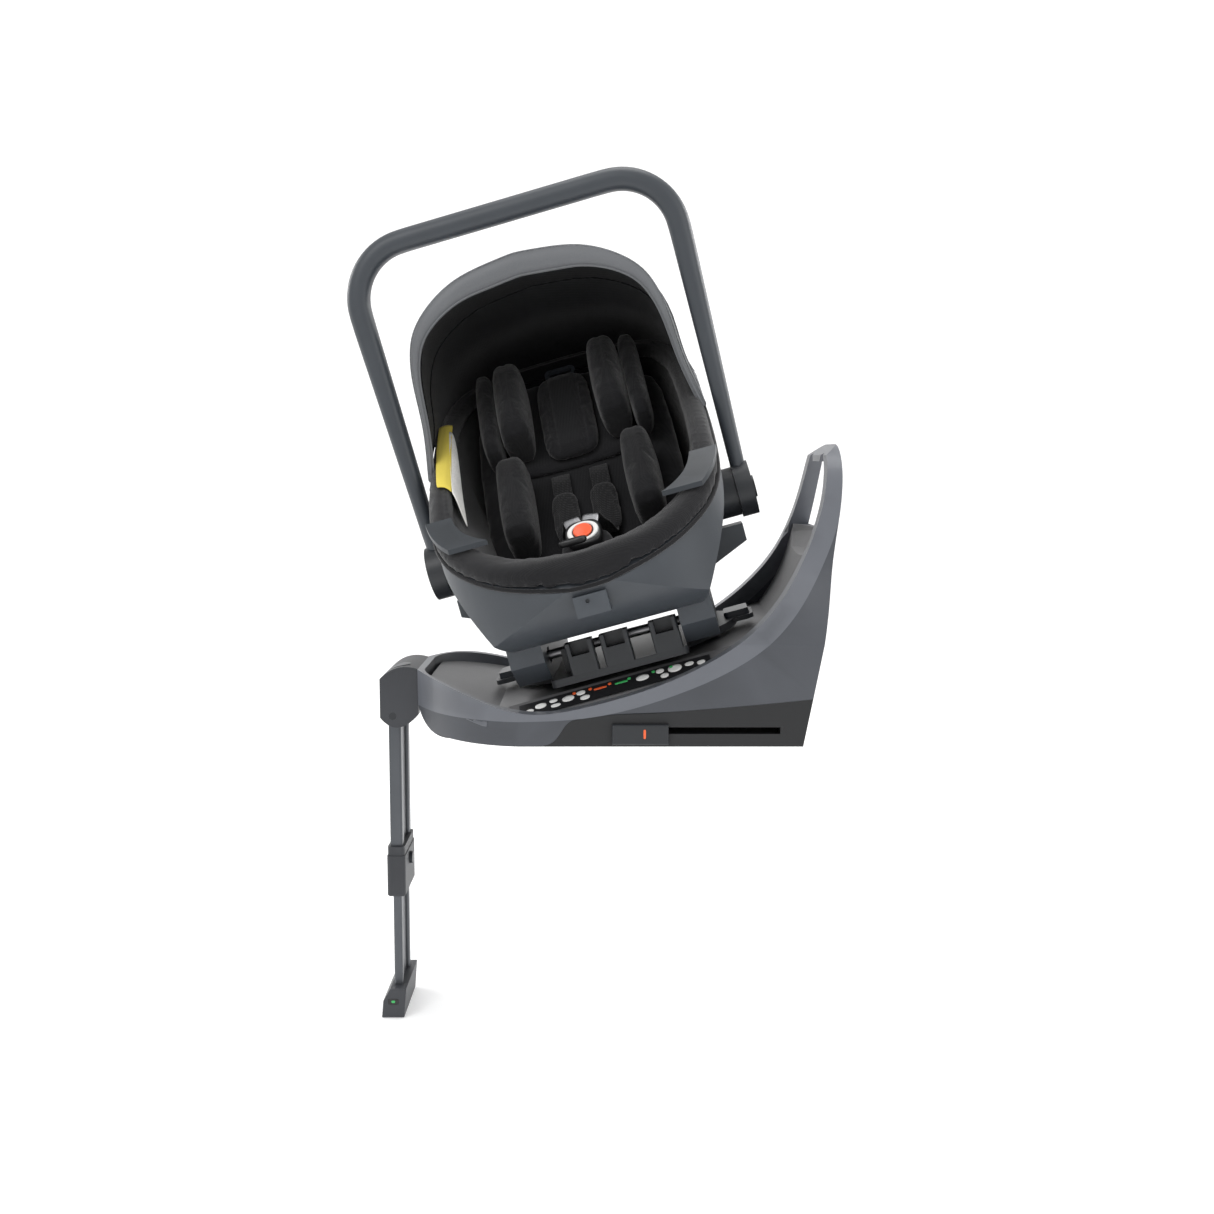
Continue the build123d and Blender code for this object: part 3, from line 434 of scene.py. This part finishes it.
def sew(piece, seams, depth):
    """Pull the surface in along seams, each a list of world points."""
    stitches = []
    for seam in seams:
        for a, b in zip(seam, seam[1:]):
            steps = max(int((b - a).length / MM), 1)
            stitches += [a.lerp(b, k / steps) for k in range(steps)]
    tree = kdtree.KDTree(len(stitches))
    for number, stitch in enumerate(stitches):
        tree.insert(stitch, number)
    tree.balance()
    for vertex in piece.data.vertices:
        nearest = tree.find(vertex.co)[2]
        if nearest < STITCH_REACH:
            vertex.co -= vertex.normal * depth * MM * exp(-(nearest / STITCH_WIDTH) ** 2)


def inflate_pads():
    """Run the cloth once for every queued pad, then limit the swell, smooth and stitch each."""
    for step in range(1, CLOTH_FRAMES + 1):
        bpy.context.scene.frame_set(step)
    for piece, cap, fill, seams, depth in waiting_pads:
        rest = [vertex.co.copy() for vertex in piece.data.vertices]
        apply_modifiers(piece)
        for vertex, start in zip(piece.data.vertices, rest):
            move = vertex.co - start
            if move.length > cap * MM:
                vertex.co = start + move.normalized() * cap * MM
        subdivide(piece)
        if seams:
            sew(piece, seams, depth)
        piece.data.shade_smooth()
    bpy.context.scene.frame_set(1)


def oval(half_width, half_height, power=2.6, count=20):
    """Superellipse points, anticlockwise from +x."""
    points = []
    for i in range(count):
        a = 2 * pi * i / count
        c, s = cos(a), sin(a)
        points.append((half_width * abs(c) ** (2 / power) * (1 if c >= 0 else -1),
                       half_height * abs(s) ** (2 / power) * (1 if s >= 0 else -1)))
    return points


def pillow(name, place, centre, half, n0, n1, body, power=3.2, crown=0.5, taper=0.0):
    """Closed pad over a superellipse outline in a frame's first two axes, n0 to n1 along the third."""
    rings = []
    thick = n1 - n0
    for inset, rise in ((14, 0), (3, 0.02), (0, 0.2), (0, 0.55), (3, 0.85), (10, 0.97), (22, 1), (40, 1)):
        limit = min(half) * 0.85
        inset = min(inset, limit) * (crown if rise > 0.5 else 1)
        ring = oval(half[0] - inset, half[1] - inset, power, 28)
        rings.append([place(centre[0] + a * (1 - taper * b / half[1]), centre[1] + b, n0 + rise * thick)
                      for a, b in ring])
    return loft(name, rings, body, levels=0)


def bar(name, place, stations, body, power=3.0, count=20):
    """Closed pad lofted along a frame's second axis: stations are (s, x centre, n centre, half x, half n)."""
    rings = [[place(x + a, s, n + b) for a, b in oval(max(hx, 1), max(hn, 1), power, count)]
             for s, x, n, hx, hn in stations]
    return loft(name, rings, body, levels=0)


def tube(name, points, radius, body, closed=False, count=8, levels=0):
    """Round tube through world points."""
    rings = []
    total = len(points)
    side = None
    for i, point in enumerate(points):
        ahead = points[(i + 1) % total] if closed or i < total - 1 else point
        behind = points[i - 1] if closed or i else point
        along = (ahead - behind).normalized()
        if side is None:
            side = along.orthogonal().normalized()
        side = (side - along * side.dot(along)).normalized()
        other = along.cross(side)
        rings.append([point + (side * cos(2 * pi * k / count) + other * sin(2 * pi * k / count)) * radius * MM
                      for k in range(count)])
    return loft(name, rings, body, closed_path=closed, levels=levels)


def ribbon(name, points, sideways, width, thick, body):
    """Flat strap through world points; sideways is its width direction."""
    section = [(-1, -1), (-0.93, -1), (0, -1), (0.93, -1), (1, -1),
               (1, 1), (0.93, 1), (0, 1.15), (-0.93, 1), (-1, 1)]
    rings = []
    across = Vector(sideways).normalized()
    for i, point in enumerate(points):
        along = (points[min(i + 1, len(points) - 1)] - points[max(i - 1, 0)]).normalized()
        flat = (across - along * across.dot(along)).normalized()
        normal = along.cross(flat)
        rings.append([point + (flat * a * width / 2 + normal * b * thick / 2) * MM for a, b in section])
    return loft(name, rings, body, levels=1)


# ---- carrier outlines ---------------------------------------------------------------------------
RECLINE = radians(43)
BACK_FOOT = (-60, 130)        # where the backrest's plane meets the seat, as (y, z)
# The rim's height as (y, z), and the right half of its plan as (x, y), front to tail
RIM_LINE = [(-275, 112), (-262, 128), (-200, 172), (-120, 226), (HUB_Y, 268), (120, 328), (250, 372),
            (300, 384)]
PLAN_HALF = [(0, -276), (72, -266), (127, -238), (165, -192), (178, -120), (178, 60), (168, 170), (140, 246),
             (80, 282), (0, 291)]
# The tub's inside against height, as (z, limit): front and rear limits in y, the half width in x
PROW = [(50, -172), (64, -225), (88, -262), (112, -275), (500, -275)]
TAIL = [(50, 90), (128, 200), (240, 262), (335, 286), (500, 290)]
TUB_WALL = [(45, 112), (62, 124), (90, 140), (130, 160), (170, 174), (250, 178), (430, 172)]
LEAN = [(100, 121), (158, 121), (250, 166)]    # the same beside the cushions
FLOOR_Z = 72


def back(x, s, n):
    """World point on the backrest: x across, s up the back, n out of it."""
    y, z = BACK_FOOT
    return seat(x, y + s * cos(RECLINE) - n * sin(RECLINE), z + s * sin(RECLINE) + n * cos(RECLINE))


RIM_CURVE = curve_points(RIM_LINE, 85)


def rim_z(y):
    """Height of the tub's rim."""
    return between(RIM_CURVE, y)


def plan_ring(count, inset=0.0):
    """Closed plan outline as (x, y, outward x, outward y), starting at the front centre."""
    loop = curve_points(PLAN_HALF, count // 2 + 1)
    loop = loop + [(-x, y) for x, y in loop[-2:0:-1]]
    ring = []
    for i, (x, y) in enumerate(loop):
        ax, ay = loop[i - 1]
        bx, by = loop[(i + 1) % len(loop)]
        length = sqrt((bx - ax) ** 2 + (by - ay) ** 2)
        nx, ny = (by - ay) / length, -(bx - ax) / length
        ring.append((x - nx * inset, y - ny * inset, nx, ny))
    return ring


def plan_half_width(y):
    return between([(py, px) for px, py in PLAN_HALF], y)


# ---- padded rim and cover -----------------------------------------------------------------------
RIM_SECTION = [(0.5, 1), (2.5, 4), (3, 13), (-2, 21), (-11, 23), (-20, 22.5), (-26, 18), (-28, 10), (-28, 2),
               (-20, 1), (-8, 1)]


def rim_point(station, out, height):
    """World point beside a plan station: out from the tub's edge, and above it."""
    x, y, nx, ny = station
    return seat(x + nx * out, y + ny * out, rim_z(y + ny * out) + height)


stations = plan_ring(96)
rim_pad = loft("rim_pad", [[rim_point(s, o, h) for o, h in RIM_SECTION] for s in stations], "carrier",
               closed_path=True, levels=0)
rim_seam = [rim_point(s, -19, 26) for s in stations] + [rim_point(stations[0], -19, 26)]
puff(rim_pad, 3.0, 0.7, 5, [rim_seam], 3.0)
dress(rim_pad, "cover_fabric", "seat_rim_pad_front", "seat_rim_pad_rear")
rim_piping = tube("rim_piping", [rim_point(s, 0.8, 0.6) for s in stations], 2.6, "carrier", closed=True)
dress(rim_piping, "cover_fabric")


def wall_point(station, drop, inset):
    """Point on the tub's inner side: drop 0 at the rim, 1 at the floor."""
    x, y, nx, ny = station
    z = rim_z(y) * (1 - drop) + FLOOR_Z * drop + 6 * (1 - drop)
    limit = between(TUB_WALL, z) - inset
    px, py = x - nx * inset, y - ny * inset
    if inset > 15 and -185 < y < 125:
        limit = min(limit, between(LEAN, z))
    px = max(-limit, min(limit, px))
    py = max(between(PROW, z) + inset, min(between(TAIL, z) - inset, py))
    return seat(px, py, z)


drops = [0.0, 0.08, 0.25, 0.45, 0.65, 0.85, 1.0]
cover = loft("seat_cover", [[wall_point(s, d, 20.5 - 1.5 * sin(pi * d)) for d in drops]
                            + [wall_point(s, d, 9) for d in reversed(drops)] for s in stations],
             "carrier", closed_path=True, levels=1)
dress(cover, "cover_fabric", "seat_liner")

# The seat cushion's crown as (y, z), front to back, its two end rings drawn in
CUSHION = [(-238, 118), (-232, 123), (-200, 134), (-165, 141), (-130, 137), (-100, 128), (-75, 127),
           (-64, 127)]
rings = []
for y, top in CUSHION:
    half = min(plan_half_width(y) - 26, 132)
    end = 6 if y in (CUSHION[0][0], CUSHION[-1][0]) else 0
    rings.append([seat(a, y, top - 18 - end / 2 + b) for a, b in oval(half - end, 17 - end, 3.4, 28)])
cushion = loft("seat_cushion_pad", rings, "carrier", levels=0)
puff(cushion, 5, 0.6, 6, [[seat(x, y, z + 2) for y, z in CUSHION[1:-1]] for x in (-52, 52)], 3)
dress(cushion, "cover_fabric", "seat_cushion")

# The back cushion as (distance up the back, half width, half thickness)
BACK_STATIONS = [(4, 128, 12), (12, 134, 15.5), (60, 138, 15.5), (140, 140, 15.5), (220, 140, 15.5),
                 (290, 136, 15.5), (318, 128, 15.5), (326, 118, 12)]
rings = [[back(a, s, -17 + b) for a, b in oval(half, thick, 4, 28)] for s, half, thick in BACK_STATIONS]
back_pad = loft("back_cushion_pad", rings, "carrier", levels=0)
puff(back_pad, 3, 0.5, 6, [[back(x, s, 0) for s in (6, 80, 150)] for x in (-34, 34)], 3)
dress(back_pad, "cover_fabric", "back_cushion")

# ---- bolsters -----------------------------------------------------------------------------------
# Heights up the back, and the share of the full section at each
BOLSTER_HEIGHTS = [11, 20, 42, 70, 100, 126, 143, 151]
BOLSTER_SHAPES = {"left": [0.55, 0.93, 1, 1, 1, 0.98, 0.93, 0.78],
                  "right": [0.55, 0.9, 1, 1, 0.99, 0.93, 0.8, 0.55]}
for side, hand in SIDES:
    profile = list(zip(BOLSTER_HEIGHTS, BOLSTER_SHAPES[hand]))
    bolster = bar(f"bolster_{hand}", back,
                  [(s, side * 83, 2 + 34 * (0.6 + 0.4 * k), 20.5 * (0.5 + 0.5 * k), 33.5 * (0.6 + 0.4 * k))
                   for s, k in profile], "carrier", power=3.6)
    seam = [back(side * 83, s, 74 * (0.62 + 0.38 * k)) for s, k in profile]
    puff(bolster, 3, 0.8, 4.5, [seam], 2.4)
    dress(bolster, "cover_fabric", f"body_bolster_{hand}")

# ---- headrest -----------------------------------------------------------------------------------
shell_pad = pillow("headrest_cover", back, (0, 250), (101, 92), 1.6, 10.5, "headrest", power=4.5)
puff(shell_pad, 1.2, 0.4, 4.5)
dress(shell_pad, "cover_fabric", "headrest_plate")
head_pad = pillow("headrest_centre_pad", back, (0, 248), (40, 83), 13, 27, "headrest", power=4)
puff(head_pad, 2.5, 0.6, 4.5, [[back(x, s, 29) for s in (166, 250, 330)] for x in (-20, 20)], 2.6)
dress(head_pad, "cover_fabric", "headrest_pad")

WING_SHAPES = {"left": [0.6, 0.9, 1, 1, 1, 0.96, 0.84, 0.55], "right": [0.6, 0.9, 1, 1, 1, 0.98, 0.9, 0.68]}
# Each layer of a wing: heights, distance from the middle, then rise, half width, half depth and seam rise
WING_LAYERS = (("inner", [181, 190, 210, 240, 270, 296, 314, 325], 67, 37, 20.5, 36.5, 74),
               ("outer", [171, 182, 205, 240, 275, 305, 322, 331], 102, 29.5, 11, 29, 60))
for side, hand in SIDES:
    for layer, heights, x, rise, wide, deep, seam_rise in WING_LAYERS:
        profile = list(zip(heights, WING_SHAPES[hand]))
        wing = bar(f"headrest_wing_{hand}_{layer}", back,
                   [(s, side * x, 14 + rise * (0.5 + 0.5 * k), wide * (0.6 + 0.4 * k), deep * (0.5 + 0.5 * k))
                    for s, k in profile], "headrest", power=3.4)
        seam = [back(side * x, s, 16 + seam_rise * (0.5 + 0.5 * k)) for s, k in profile]
        puff(wing, 2.3, 0.7, 4.5, [seam], 2.2)
        dress(wing, "cover_fabric", f"headrest_wing_{hand}")

# ---- harness ------------------------------------------------------------------------------------
BUCKLE_CENTRE = Vector((0, -150, 158))
BUCKLE_UP = Vector((0, 0.77, 0.64))
BUCKLE_OUT = Vector((0, -0.64, 0.77))
SHOULDER_X = 26               # each shoulder pad's distance from the middle


def buckle(x, up, out):
    """World point on the buckle: x across, up its face, out of it."""
    spot = BUCKLE_CENTRE + BUCKLE_UP * up + BUCKLE_OUT * out
    return seat(x, spot.y, spot.z)


across_world = SEAT.to_3x3() @ Vector((1, 0, 0))
for side, hand in SIDES:
    middle = side * SHOULDER_X
    pad = pillow(f"shoulder_pad_{hand}", back, (middle, 67), (18.5, 43.5), 7, 17, "carrier", power=4)
    puff(pad, 1.5, 0.6, 3.5, [[back(middle + e, s, 16) for s in (26, 67, 108)] for e in (-12, 12)], 1.2)
    dress(pad, "webbing", f"harness_{hand}")
    rise = ((100, 10), (118, 9.5), (136, 9), (152, 5))
    upper = curve_points([tuple(back(middle, s, n)) for s, n in rise], 12)
    strap = ribbon(f"shoulder_strap_{hand}", [Vector(p) for p in upper], across_world, 25, 1.6, "carrier")
    dress(strap, "webbing", f"harness_{hand}")
    run = [back(middle, 34, 11), back(side * 25, 16, 16), seat(side * 21, -88, 166),
           seat(side * 16, -112, 174), buckle(side * 13, 30, 8)]
    lower = ribbon(f"lap_strap_{hand}", [Vector(p) for p in curve_points([tuple(p) for p in run], 18)],
                   across_world, 22, 1.8, "carrier")
    dress(lower, "webbing")
    tongue_points = [buckle(side * (13 - k * 1.5), 32 - 7 * k, 8.5) for k in range(4)]
    tongue = ribbon(f"tongue_{hand}", tongue_points, across_world, 21, 2.6, "carrier")
    dress(tongue, "steel")

crotch = pillow("crotch_pad", buckle, (0, -18), (33, 38), -12, -1.5, "carrier", power=2.8)
puff(crotch, 1.5, 0.6, 3.5)
dress(crotch, "cover_fabric")
case = pillow("buckle_case", buckle, (0, 0), (23, 22), 0.5, 13.4, "carrier", power=3.0, crown=0.35)
dress(subdivide(case), "buckle", "buckle_body")
surround = loft("buckle_surround", [[buckle(a, b, h) for a, b in oval(rx, ry, 2.1, 32)]
                                    for rx, ry, h in ((19.5, 16.5, 12.6), (19.3, 16.3, 14), (17.5, 15, 14.8),
                                                      (13.6, 13, 14.6), (13.2, 12.7, 13.2))],
                "carrier", caps=False, levels=1)
surround.data.materials.append(WHITE)
PRESS = ((12, 12.2), (12, 15), (11.2, 16), (9, 15.6), (4, 15.2), (1.2, 15.1))    # (radius, height)
button = loft("buckle_press", [[buckle(a, b, h) for a, b in oval(r, r, 2.0, 28)] for r, h in PRESS],
              "buckle_button")
dress(button, "buckle_red", "buckle_button")
# The adjuster's tab as (y, z, half width, half thickness), front to back
TAB = [(-210, 161, 15, 3), (-208, 161, 16.6, 4.6), (-199, 162, 17, 4), (-194, 162, 16.4, 3.6),
       (-192, 162, 14, 2.4)]
adjuster = loft("adjuster_tab", [[seat(-11 + a, y, z + b) for a, b in oval(half, thick, 4, 24)]
                                 for y, z, half, thick in TAB], "harness_adjuster")
dress(adjuster, "buckle", "harness_adjuster_button")

# ---- canopy -------------------------------------------------------------------------------------
FOOT_HALF_WIDTH = 183         # the canopy's sides spread here to close outside the padded rim
ARCH_DEGREES = (-2, 0, 3, 6, 9, 12, 15, 18, 22, 26, 30, 34)    # the swept arches' angles, front to back
TAIL_SHARES = (0.2, 0.4, 0.6, 0.8, 0.93, 1.0)                  # rows from the last arch down to the tail
HALF_WIDTH, REACH = 164, 360                                   # of the front arch
SPREAD = 5                                                     # how far the arches behind it grow


def arch(reach, half_width, foot, count=41):
    """Half-ring arch as (x, radius from the hub axis), left foot to right foot."""
    top = [(half_width, 0.72 * reach), (0.86 * half_width, 0.86 * reach), (0.5 * half_width, 0.965 * reach),
           (0, reach)]
    low = foot + 0.45 * (0.72 * reach - foot)
    run = [(FOOT_HALF_WIDTH, foot), (half_width + 0.35 * (FOOT_HALF_WIDTH - half_width), low)] + top
    half = curve_points(run, count // 2 + 1)
    return [(-x, r) for x, r in half] + half[-2::-1]


def foot_radius(degrees_back):
    """Radius at which the swept arch meets the top of the rim pad."""
    a = radians(degrees_back)
    radius = 90
    while HUB_Z + radius * cos(a) < rim_z(HUB_Y + radius * sin(a)) + 7:
        radius += 1
    return radius


def canopy_row(degrees_back, drop):
    """One arch of the canopy, drop mm inside its outer face."""
    grow = SPREAD * min(max((degrees_back + 2) / 16, 0), 1)
    a = radians(degrees_back)
    return [(x, HUB_Y + r * sin(a), HUB_Z + r * cos(a))
            for x, r in arch(REACH + grow - drop, HALF_WIDTH + grow - drop, foot_radius(degrees_back))]


def tail_row(row, drop):
    """The canopy's last edge, round the tail of the tub, point for point with the row."""
    outline = [(x, y) for x, y, nx, ny in plan_ring(240, drop - 5)]
    start = row[0][1]
    outline = sorted(((x, y) for x, y in outline if y > start + 6), key=lambda p: atan2(p[0], p[1] - start))
    samples = curve_points(outline, len(row))
    return [(x, y, rim_z(y) + 8) for x, y in samples]


def canopy_points(drop):
    """Rows of the whole canopy: swept arches, then curves down to the tub's tail."""
    rows = [canopy_row(a, drop) for a in ARCH_DEGREES]
    last = rows[-1]
    tail = tail_row(last, drop)
    for t in TAIL_SHARES:
        row = []
        for (ax, ay, az), (bx, by, bz) in zip(last, tail):
            rise = max(az - bz, 0)
            cx, cy, cz = bx + (ax - bx) * 0.5, ay + (by - ay) * 0.72, az - rise * 0.28
            row.append(tuple((1 - t) ** 2 * p + 2 * t * (1 - t) * q + t * t * r
                             for p, q, r in zip((ax, ay, az), (cx, cy, cz), (bx, by, bz))))
        rows.append(row)
    return rows


def seat_rows(rows):
    return [[seat(*point) for point in row] for row in rows]


def canopy_sheet(name, rows, finish, *replaced):
    """Cloth lofted over the canopy's rows, then unparented with its placement baked in."""
    piece = loft(name, seat_rows(rows), "canopy", closed_ring=False, caps=False)
    piece.parent = None
    piece.data.materials.append(finish)
    if replaced:
        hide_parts(*replaced)
    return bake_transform(piece)


outer_rows = canopy_points(0)
canopy_sheet("canopy_cloth", outer_rows, FINISHES["canopy_fabric"],
             "canopy_bow", "canopy_front", "canopy_middle", "canopy_rear")


def band_width(k, count):
    """How far the front band reaches in at point k: broad over the top, narrow down the sides."""
    middle = 1 - abs(2 * k / (count - 1) - 1)
    return 7 + 21 * min(max((middle - 0.25) / 0.6, 0), 1) ** 1.3


def inward(point, distance):
    """A point of the front row moved towards the middle of the opening, in the row's plane."""
    here = Vector(point)
    toward = Vector((0, HUB_Y, HUB_Z + 190)) - here
    if toward.z > 0:
        toward = Vector((-here.x, 0, 0))
    step = here + toward.normalized() * distance
    return step.x, step.y, step.z


# The band's section as (share of its width, step back), from the outer edge to the inner
BAND_SECTION = ((-0.03, 1.5), (0.0, -1), (0.2, -4.5), (0.5, -6.5), (0.8, -6), (1.0, -2.5), (1.04, 3))
front_row = outer_rows[0]
band_rows = []
for share, step in BAND_SECTION:
    row = []
    for k, point in enumerate(front_row):
        x, y, z = inward(point, band_width(k, len(front_row)) * share)
        row.append((x, y + step, z))
    band_rows.append(row)
satin = woven("satin band", (0.13, 0.135, 0.143), threads=2600, roughness=0.42, bump=0.06, variation=0.06,
              sheen=0.3)
band = loft("canopy_front_band", seat_rows(band_rows), "canopy", closed_ring=False, caps=False)
band.data.materials.append(satin)
piping = tube("canopy_piping", [seat(*p) for p in band_rows[-2]], 1.5, "canopy", levels=1)
piping.data.materials.append(satin)
edge_piping = tube("canopy_edge_piping", [seat(*p) for p in front_row], 1.6, "canopy", levels=1)
dress(edge_piping, "canopy_fabric")

lining_rows = [band_rows[-1]] + canopy_points(5)[2:]
canopy_sheet("canopy_lining", lining_rows, LINING)
for number, row, body in ((1, 4, "canopy"), (2, 8, "carrier")):
    stitch = tube(f"lining_seam_{number}", [seat(*p) for p in canopy_points(6.2)[row][2:-2]], 0.9, body)
    stitch.data.materials.append(LINING)
for row in (6, 11):
    stitch = tube(f"cloth_seam_{row}", [seat(*p) for p in canopy_points(-0.6)[row][1:-1]], 1.0, "carrier")
    dress(stitch, "canopy_fabric")

# ---- handle -------------------------------------------------------------------------------------
HANDLE_HALF_WIDTHS = (201, 209)    # to the bar's midline, at the hubs and at the top
HANDLE_TOP = 575
HANDLE_CORNER = 74            # bend radius


def handle_path():
    """Half of the handle's midline in (x, z), hub to top centre, leaning out towards the top."""
    foot_x, top_x = HANDLE_HALF_WIDTHS
    start, end = HUB_Z + 14, HANDLE_TOP - HANDLE_CORNER
    line = [(foot_x + (top_x - foot_x) * k / 9, start + (end - start) * k / 9) for k in range(9)]
    line += [(top_x - HANDLE_CORNER + HANDLE_CORNER * cos(radians(a)), end + HANDLE_CORNER * sin(radians(a)))
             for a in range(0, 91, 10)]
    return line + [(x, HANDLE_TOP) for x in (112, 85, 60, 30, 0)]


def handle_section(thick, deep):
    """Soft lens with a flat inner face and a shallow ridge outside, as (out, y)."""
    return [(thick * a, deep * b) for a, b in
            ((0.5, 0), (0.47, 0.2), (0.36, 0.38), (0.14, 0.49), (-0.12, 0.5), (-0.36, 0.44), (-0.47, 0.33),
             (-0.5, 0.15), (-0.5, 0), (-0.5, -0.15), (-0.47, -0.33), (-0.36, -0.44), (-0.12, -0.5),
             (0.14, -0.49), (0.36, -0.38), (0.47, -0.2))]


half_path = handle_path()
path = [(-x, z) for x, z in half_path] + half_path[-2::-1]
rings = []
for i, (x, z) in enumerate(path):
    ax, az = path[max(i - 1, 0)]
    bx, bz = path[min(i + 1, len(path) - 1)]
    length = sqrt((bx - ax) ** 2 + (bz - az) ** 2)
    ox, oz = -(bz - az) / length, (bx - ax) / length
    high = min(max((z - 200) / 300, 0), 1)
    section = handle_section(19 + 10 * high, 36 - 3 * high)
    rings.append([seat(x + ox * o, HUB_Y + d, z + oz * o) for o, d in section])
dress(loft("handle_sweep", rings, "handle"), "shell_plastic", "handle_bar")

# ---- small marks --------------------------------------------------------------------------------
DECK_TILT = radians(15.5)


def base(x, y, z):
    """World point of a base point in millimetres."""
    return Vector((x, y, z)) * MM


def deck_point(u, y, w):
    """World point of the inclined platform frame, square to the base."""
    c, s = cos(DECK_TILT), sin(DECK_TILT)
    return platform + Vector((u * c - w * s, y, u * s + w * c)) * MM


def decal(name, node, body, outline, aim, lift, finish, rows=6):
    """Thin skin laid on a CAD node: outline is world points, dropped onto the node along aim."""
    target = nodes[node]
    toward = Vector(aim).normalized()
    centre = sum(outline, Vector()) / len(outline)
    rings = []
    for k in range(rows, 0, -1):
        ring = []
        for point in outline:
            spot = centre + (point - centre) * (k / rows)
            hit, where, normal, _ = target.ray_cast(spot - toward * 0.4, toward)
            ring.append((where if hit else spot) - toward * lift * MM)
        rings.append(ring)
    rings.insert(0, [point + toward * (lift + 0.1) * MM for point in rings[0]])
    piece = loft(name, rings, body, caps=False, levels=0)
    filler = bmesh.new()
    filler.from_mesh(piece.data)
    filler.verts.ensure_lookup_table()
    count = len(outline)
    filler.faces.new([filler.verts[i] for i in range(len(filler.verts) - count, len(filler.verts))])
    filler.to_mesh(piece.data)
    filler.free()
    piece.data.materials.append(finish)
    return piece


def strip_spot(a, b):
    """Point over the instruction strip: a along it, b across it."""
    return deck_point(-20 + a, -180 + b, 20)


# Ovals on the strip as (along, across, half length, half height)
STRIP_MARKS = ((-106, -3, 5, 3.2), (-92, 1, 7, 4.4), (-76, 4, 5, 3), (-74, -5, 6, 3), (-58, 1, 7.5, 5),
               (-42, 5, 5.5, 4), (-38, -5, 6, 4), (34, 2, 8, 5), (56, 5, 5, 4), (60, -5, 5, 4),
               (74, 3, 8.5, 6.5), (92, 4, 5.5, 3.6), (106, 1, 5, 3.8))
STRIP_DOTS = ((-50, ORANGE), (-30, ORANGE), (-6, ORANGE), (18, GREEN), (48, GREEN), (70, GREEN))
STRIP_BARS = ((-18, ORANGE), (8, GREEN))
PLATFORM_DOWN = -up_axis


def strip_decal(name, along, across, outline, lift, finish):
    ring = [strip_spot(along + a, across + b) for a, b in outline]
    decal(name, "instruction_strip", "base", ring, PLATFORM_DOWN, lift, finish, 2)


for number, (along, across, wide, tall) in enumerate(STRIP_MARKS):
    strip_decal(f"strip_mark_{number}", along, across, oval(wide, tall, 2.2, 18), 0.3, WHITE)
for number, (along, finish) in enumerate(STRIP_DOTS):
    strip_decal(f"strip_dot_{number}", along, 7, oval(2.2, 2.2, 2, 12), 0.35, finish)
for number, (along, finish) in enumerate(STRIP_BARS):
    strip_decal(f"strip_bar_{number}", along, 4, oval(8, 1.6, 5, 16), 0.3, finish)

INTO = (0, 1, 0)
badge = [base(-266 + a, -30 + b * 1.2, 120) for a, b in oval(13, 13, 2, 28)]
decal("leg_badge", "leg_bracket", "base", badge, (0, 0, -1), 0.5, FINISHES["guide_plastic"],
      4)
mark = [base(44 + a, -260, 16 + b) for a, b in oval(1.4, 5.5, 6, 12)]
decal("slider_mark", "anchor_slider_near", "anchor_near", mark, INTO, 0.25, ORANGE, 2)
inset = [base(-158 + a, -260, 30 + b - a * 0.28) for a, b in oval(17, 5, 5, 24)]
decal("grip_inset", "base_lower_housing", "base", inset, INTO, 0.5, FINISHES["band_plastic"],
      5)
window = [base(-279 + a, -90, -370 + b) for a, b in oval(7, 4, 5, 18)]
decal("foot_window", "leg_foot", "leg_lower", window, INTO, 0.3, FINISHES["buckle"], 3)
lamp = [base(-279 + a, -90, -370 + b) for a, b in oval(2.4, 1.6, 3, 12)]
decal("foot_mark", "leg_foot", "leg_lower", lamp, INTO, 0.55, GREEN, 2)

# ---- plain tag on the left rim ------------------------------------------------------------------
TAG_THICK = 0.0006
# The rim pad's outside as (out, height), from its outer side over the top and down inside
PAD_PROFILE = [(5.8, 8), (5.2, 16), (1.5, 23.5), (-4, 27), (-11, 28.3), (-18, 28), (-24, 26), (-29.5, 20.5),
               (-32.6, 12), (-34, 2), (-35.4, -14), (-37.6, -30), (-41, -46), (-46, -62)]


def pad_surface(distance):
    """(out, height) just off the rim pad, a distance in mm round it from its outer side."""
    for (a, b), (c, d) in zip(PAD_PROFILE, PAD_PROFILE[1:]):
        step = sqrt((c - a) ** 2 + (d - b) ** 2)
        if distance <= step:
            return a + (c - a) * distance / step, b + (d - b) * distance / step
        distance -= step
    return PAD_PROFILE[-1]


def tag(name, y0, y1, near_end, far_end, finish):
    """Cloth label over the left rim: each end is (start, length) round the pad."""
    chosen = [s for s in plan_ring(200) if s[0] < -100 and y0 <= s[1] <= y1]
    rings = []
    for x, y, nx, ny in chosen:
        share = (y - y0) / (y1 - y0)
        start, length = [a + (b - a) * share for a, b in zip(near_end, far_end)]
        row = []
        for k in range(10):
            out, height = pad_surface(start + length * k / 9)
            row.append(seat(x + nx * out, y + ny * out, rim_z(y) + height))
        rings.append(row)
    piece = loft(name, rings, "carrier", closed_ring=False, caps=False)
    solid = piece.modifiers.new("solid", "SOLIDIFY")
    solid.thickness = TAG_THICK
    apply_modifiers(piece)
    piece.data.materials.append(finish)
    return piece


TAG_YELLOW = woven("yellow tag", (0.74, 0.6, 0.1), threads=2200, bump=0.12, sheen=0.05, variation=0.06)
yellow_tag = tag("rim_tag_strip", -100, 100, (33, 22), (24, 20), TAG_YELLOW)
white_tag = tag("rim_tag_leaf", -104, 70, (55, 50), (41, 4), PAPER)

inflate_pads()

pale, pale_nodes, _ = new_material("floor")
set_inputs(pale_nodes["Principled BSDF"], Base_Color=(0.9, 0.9, 0.9, 1), Roughness=0.9,
           Emission_Color=(1, 1, 1, 1), Emission_Strength=0.22)
floor().data.materials.append(pale)
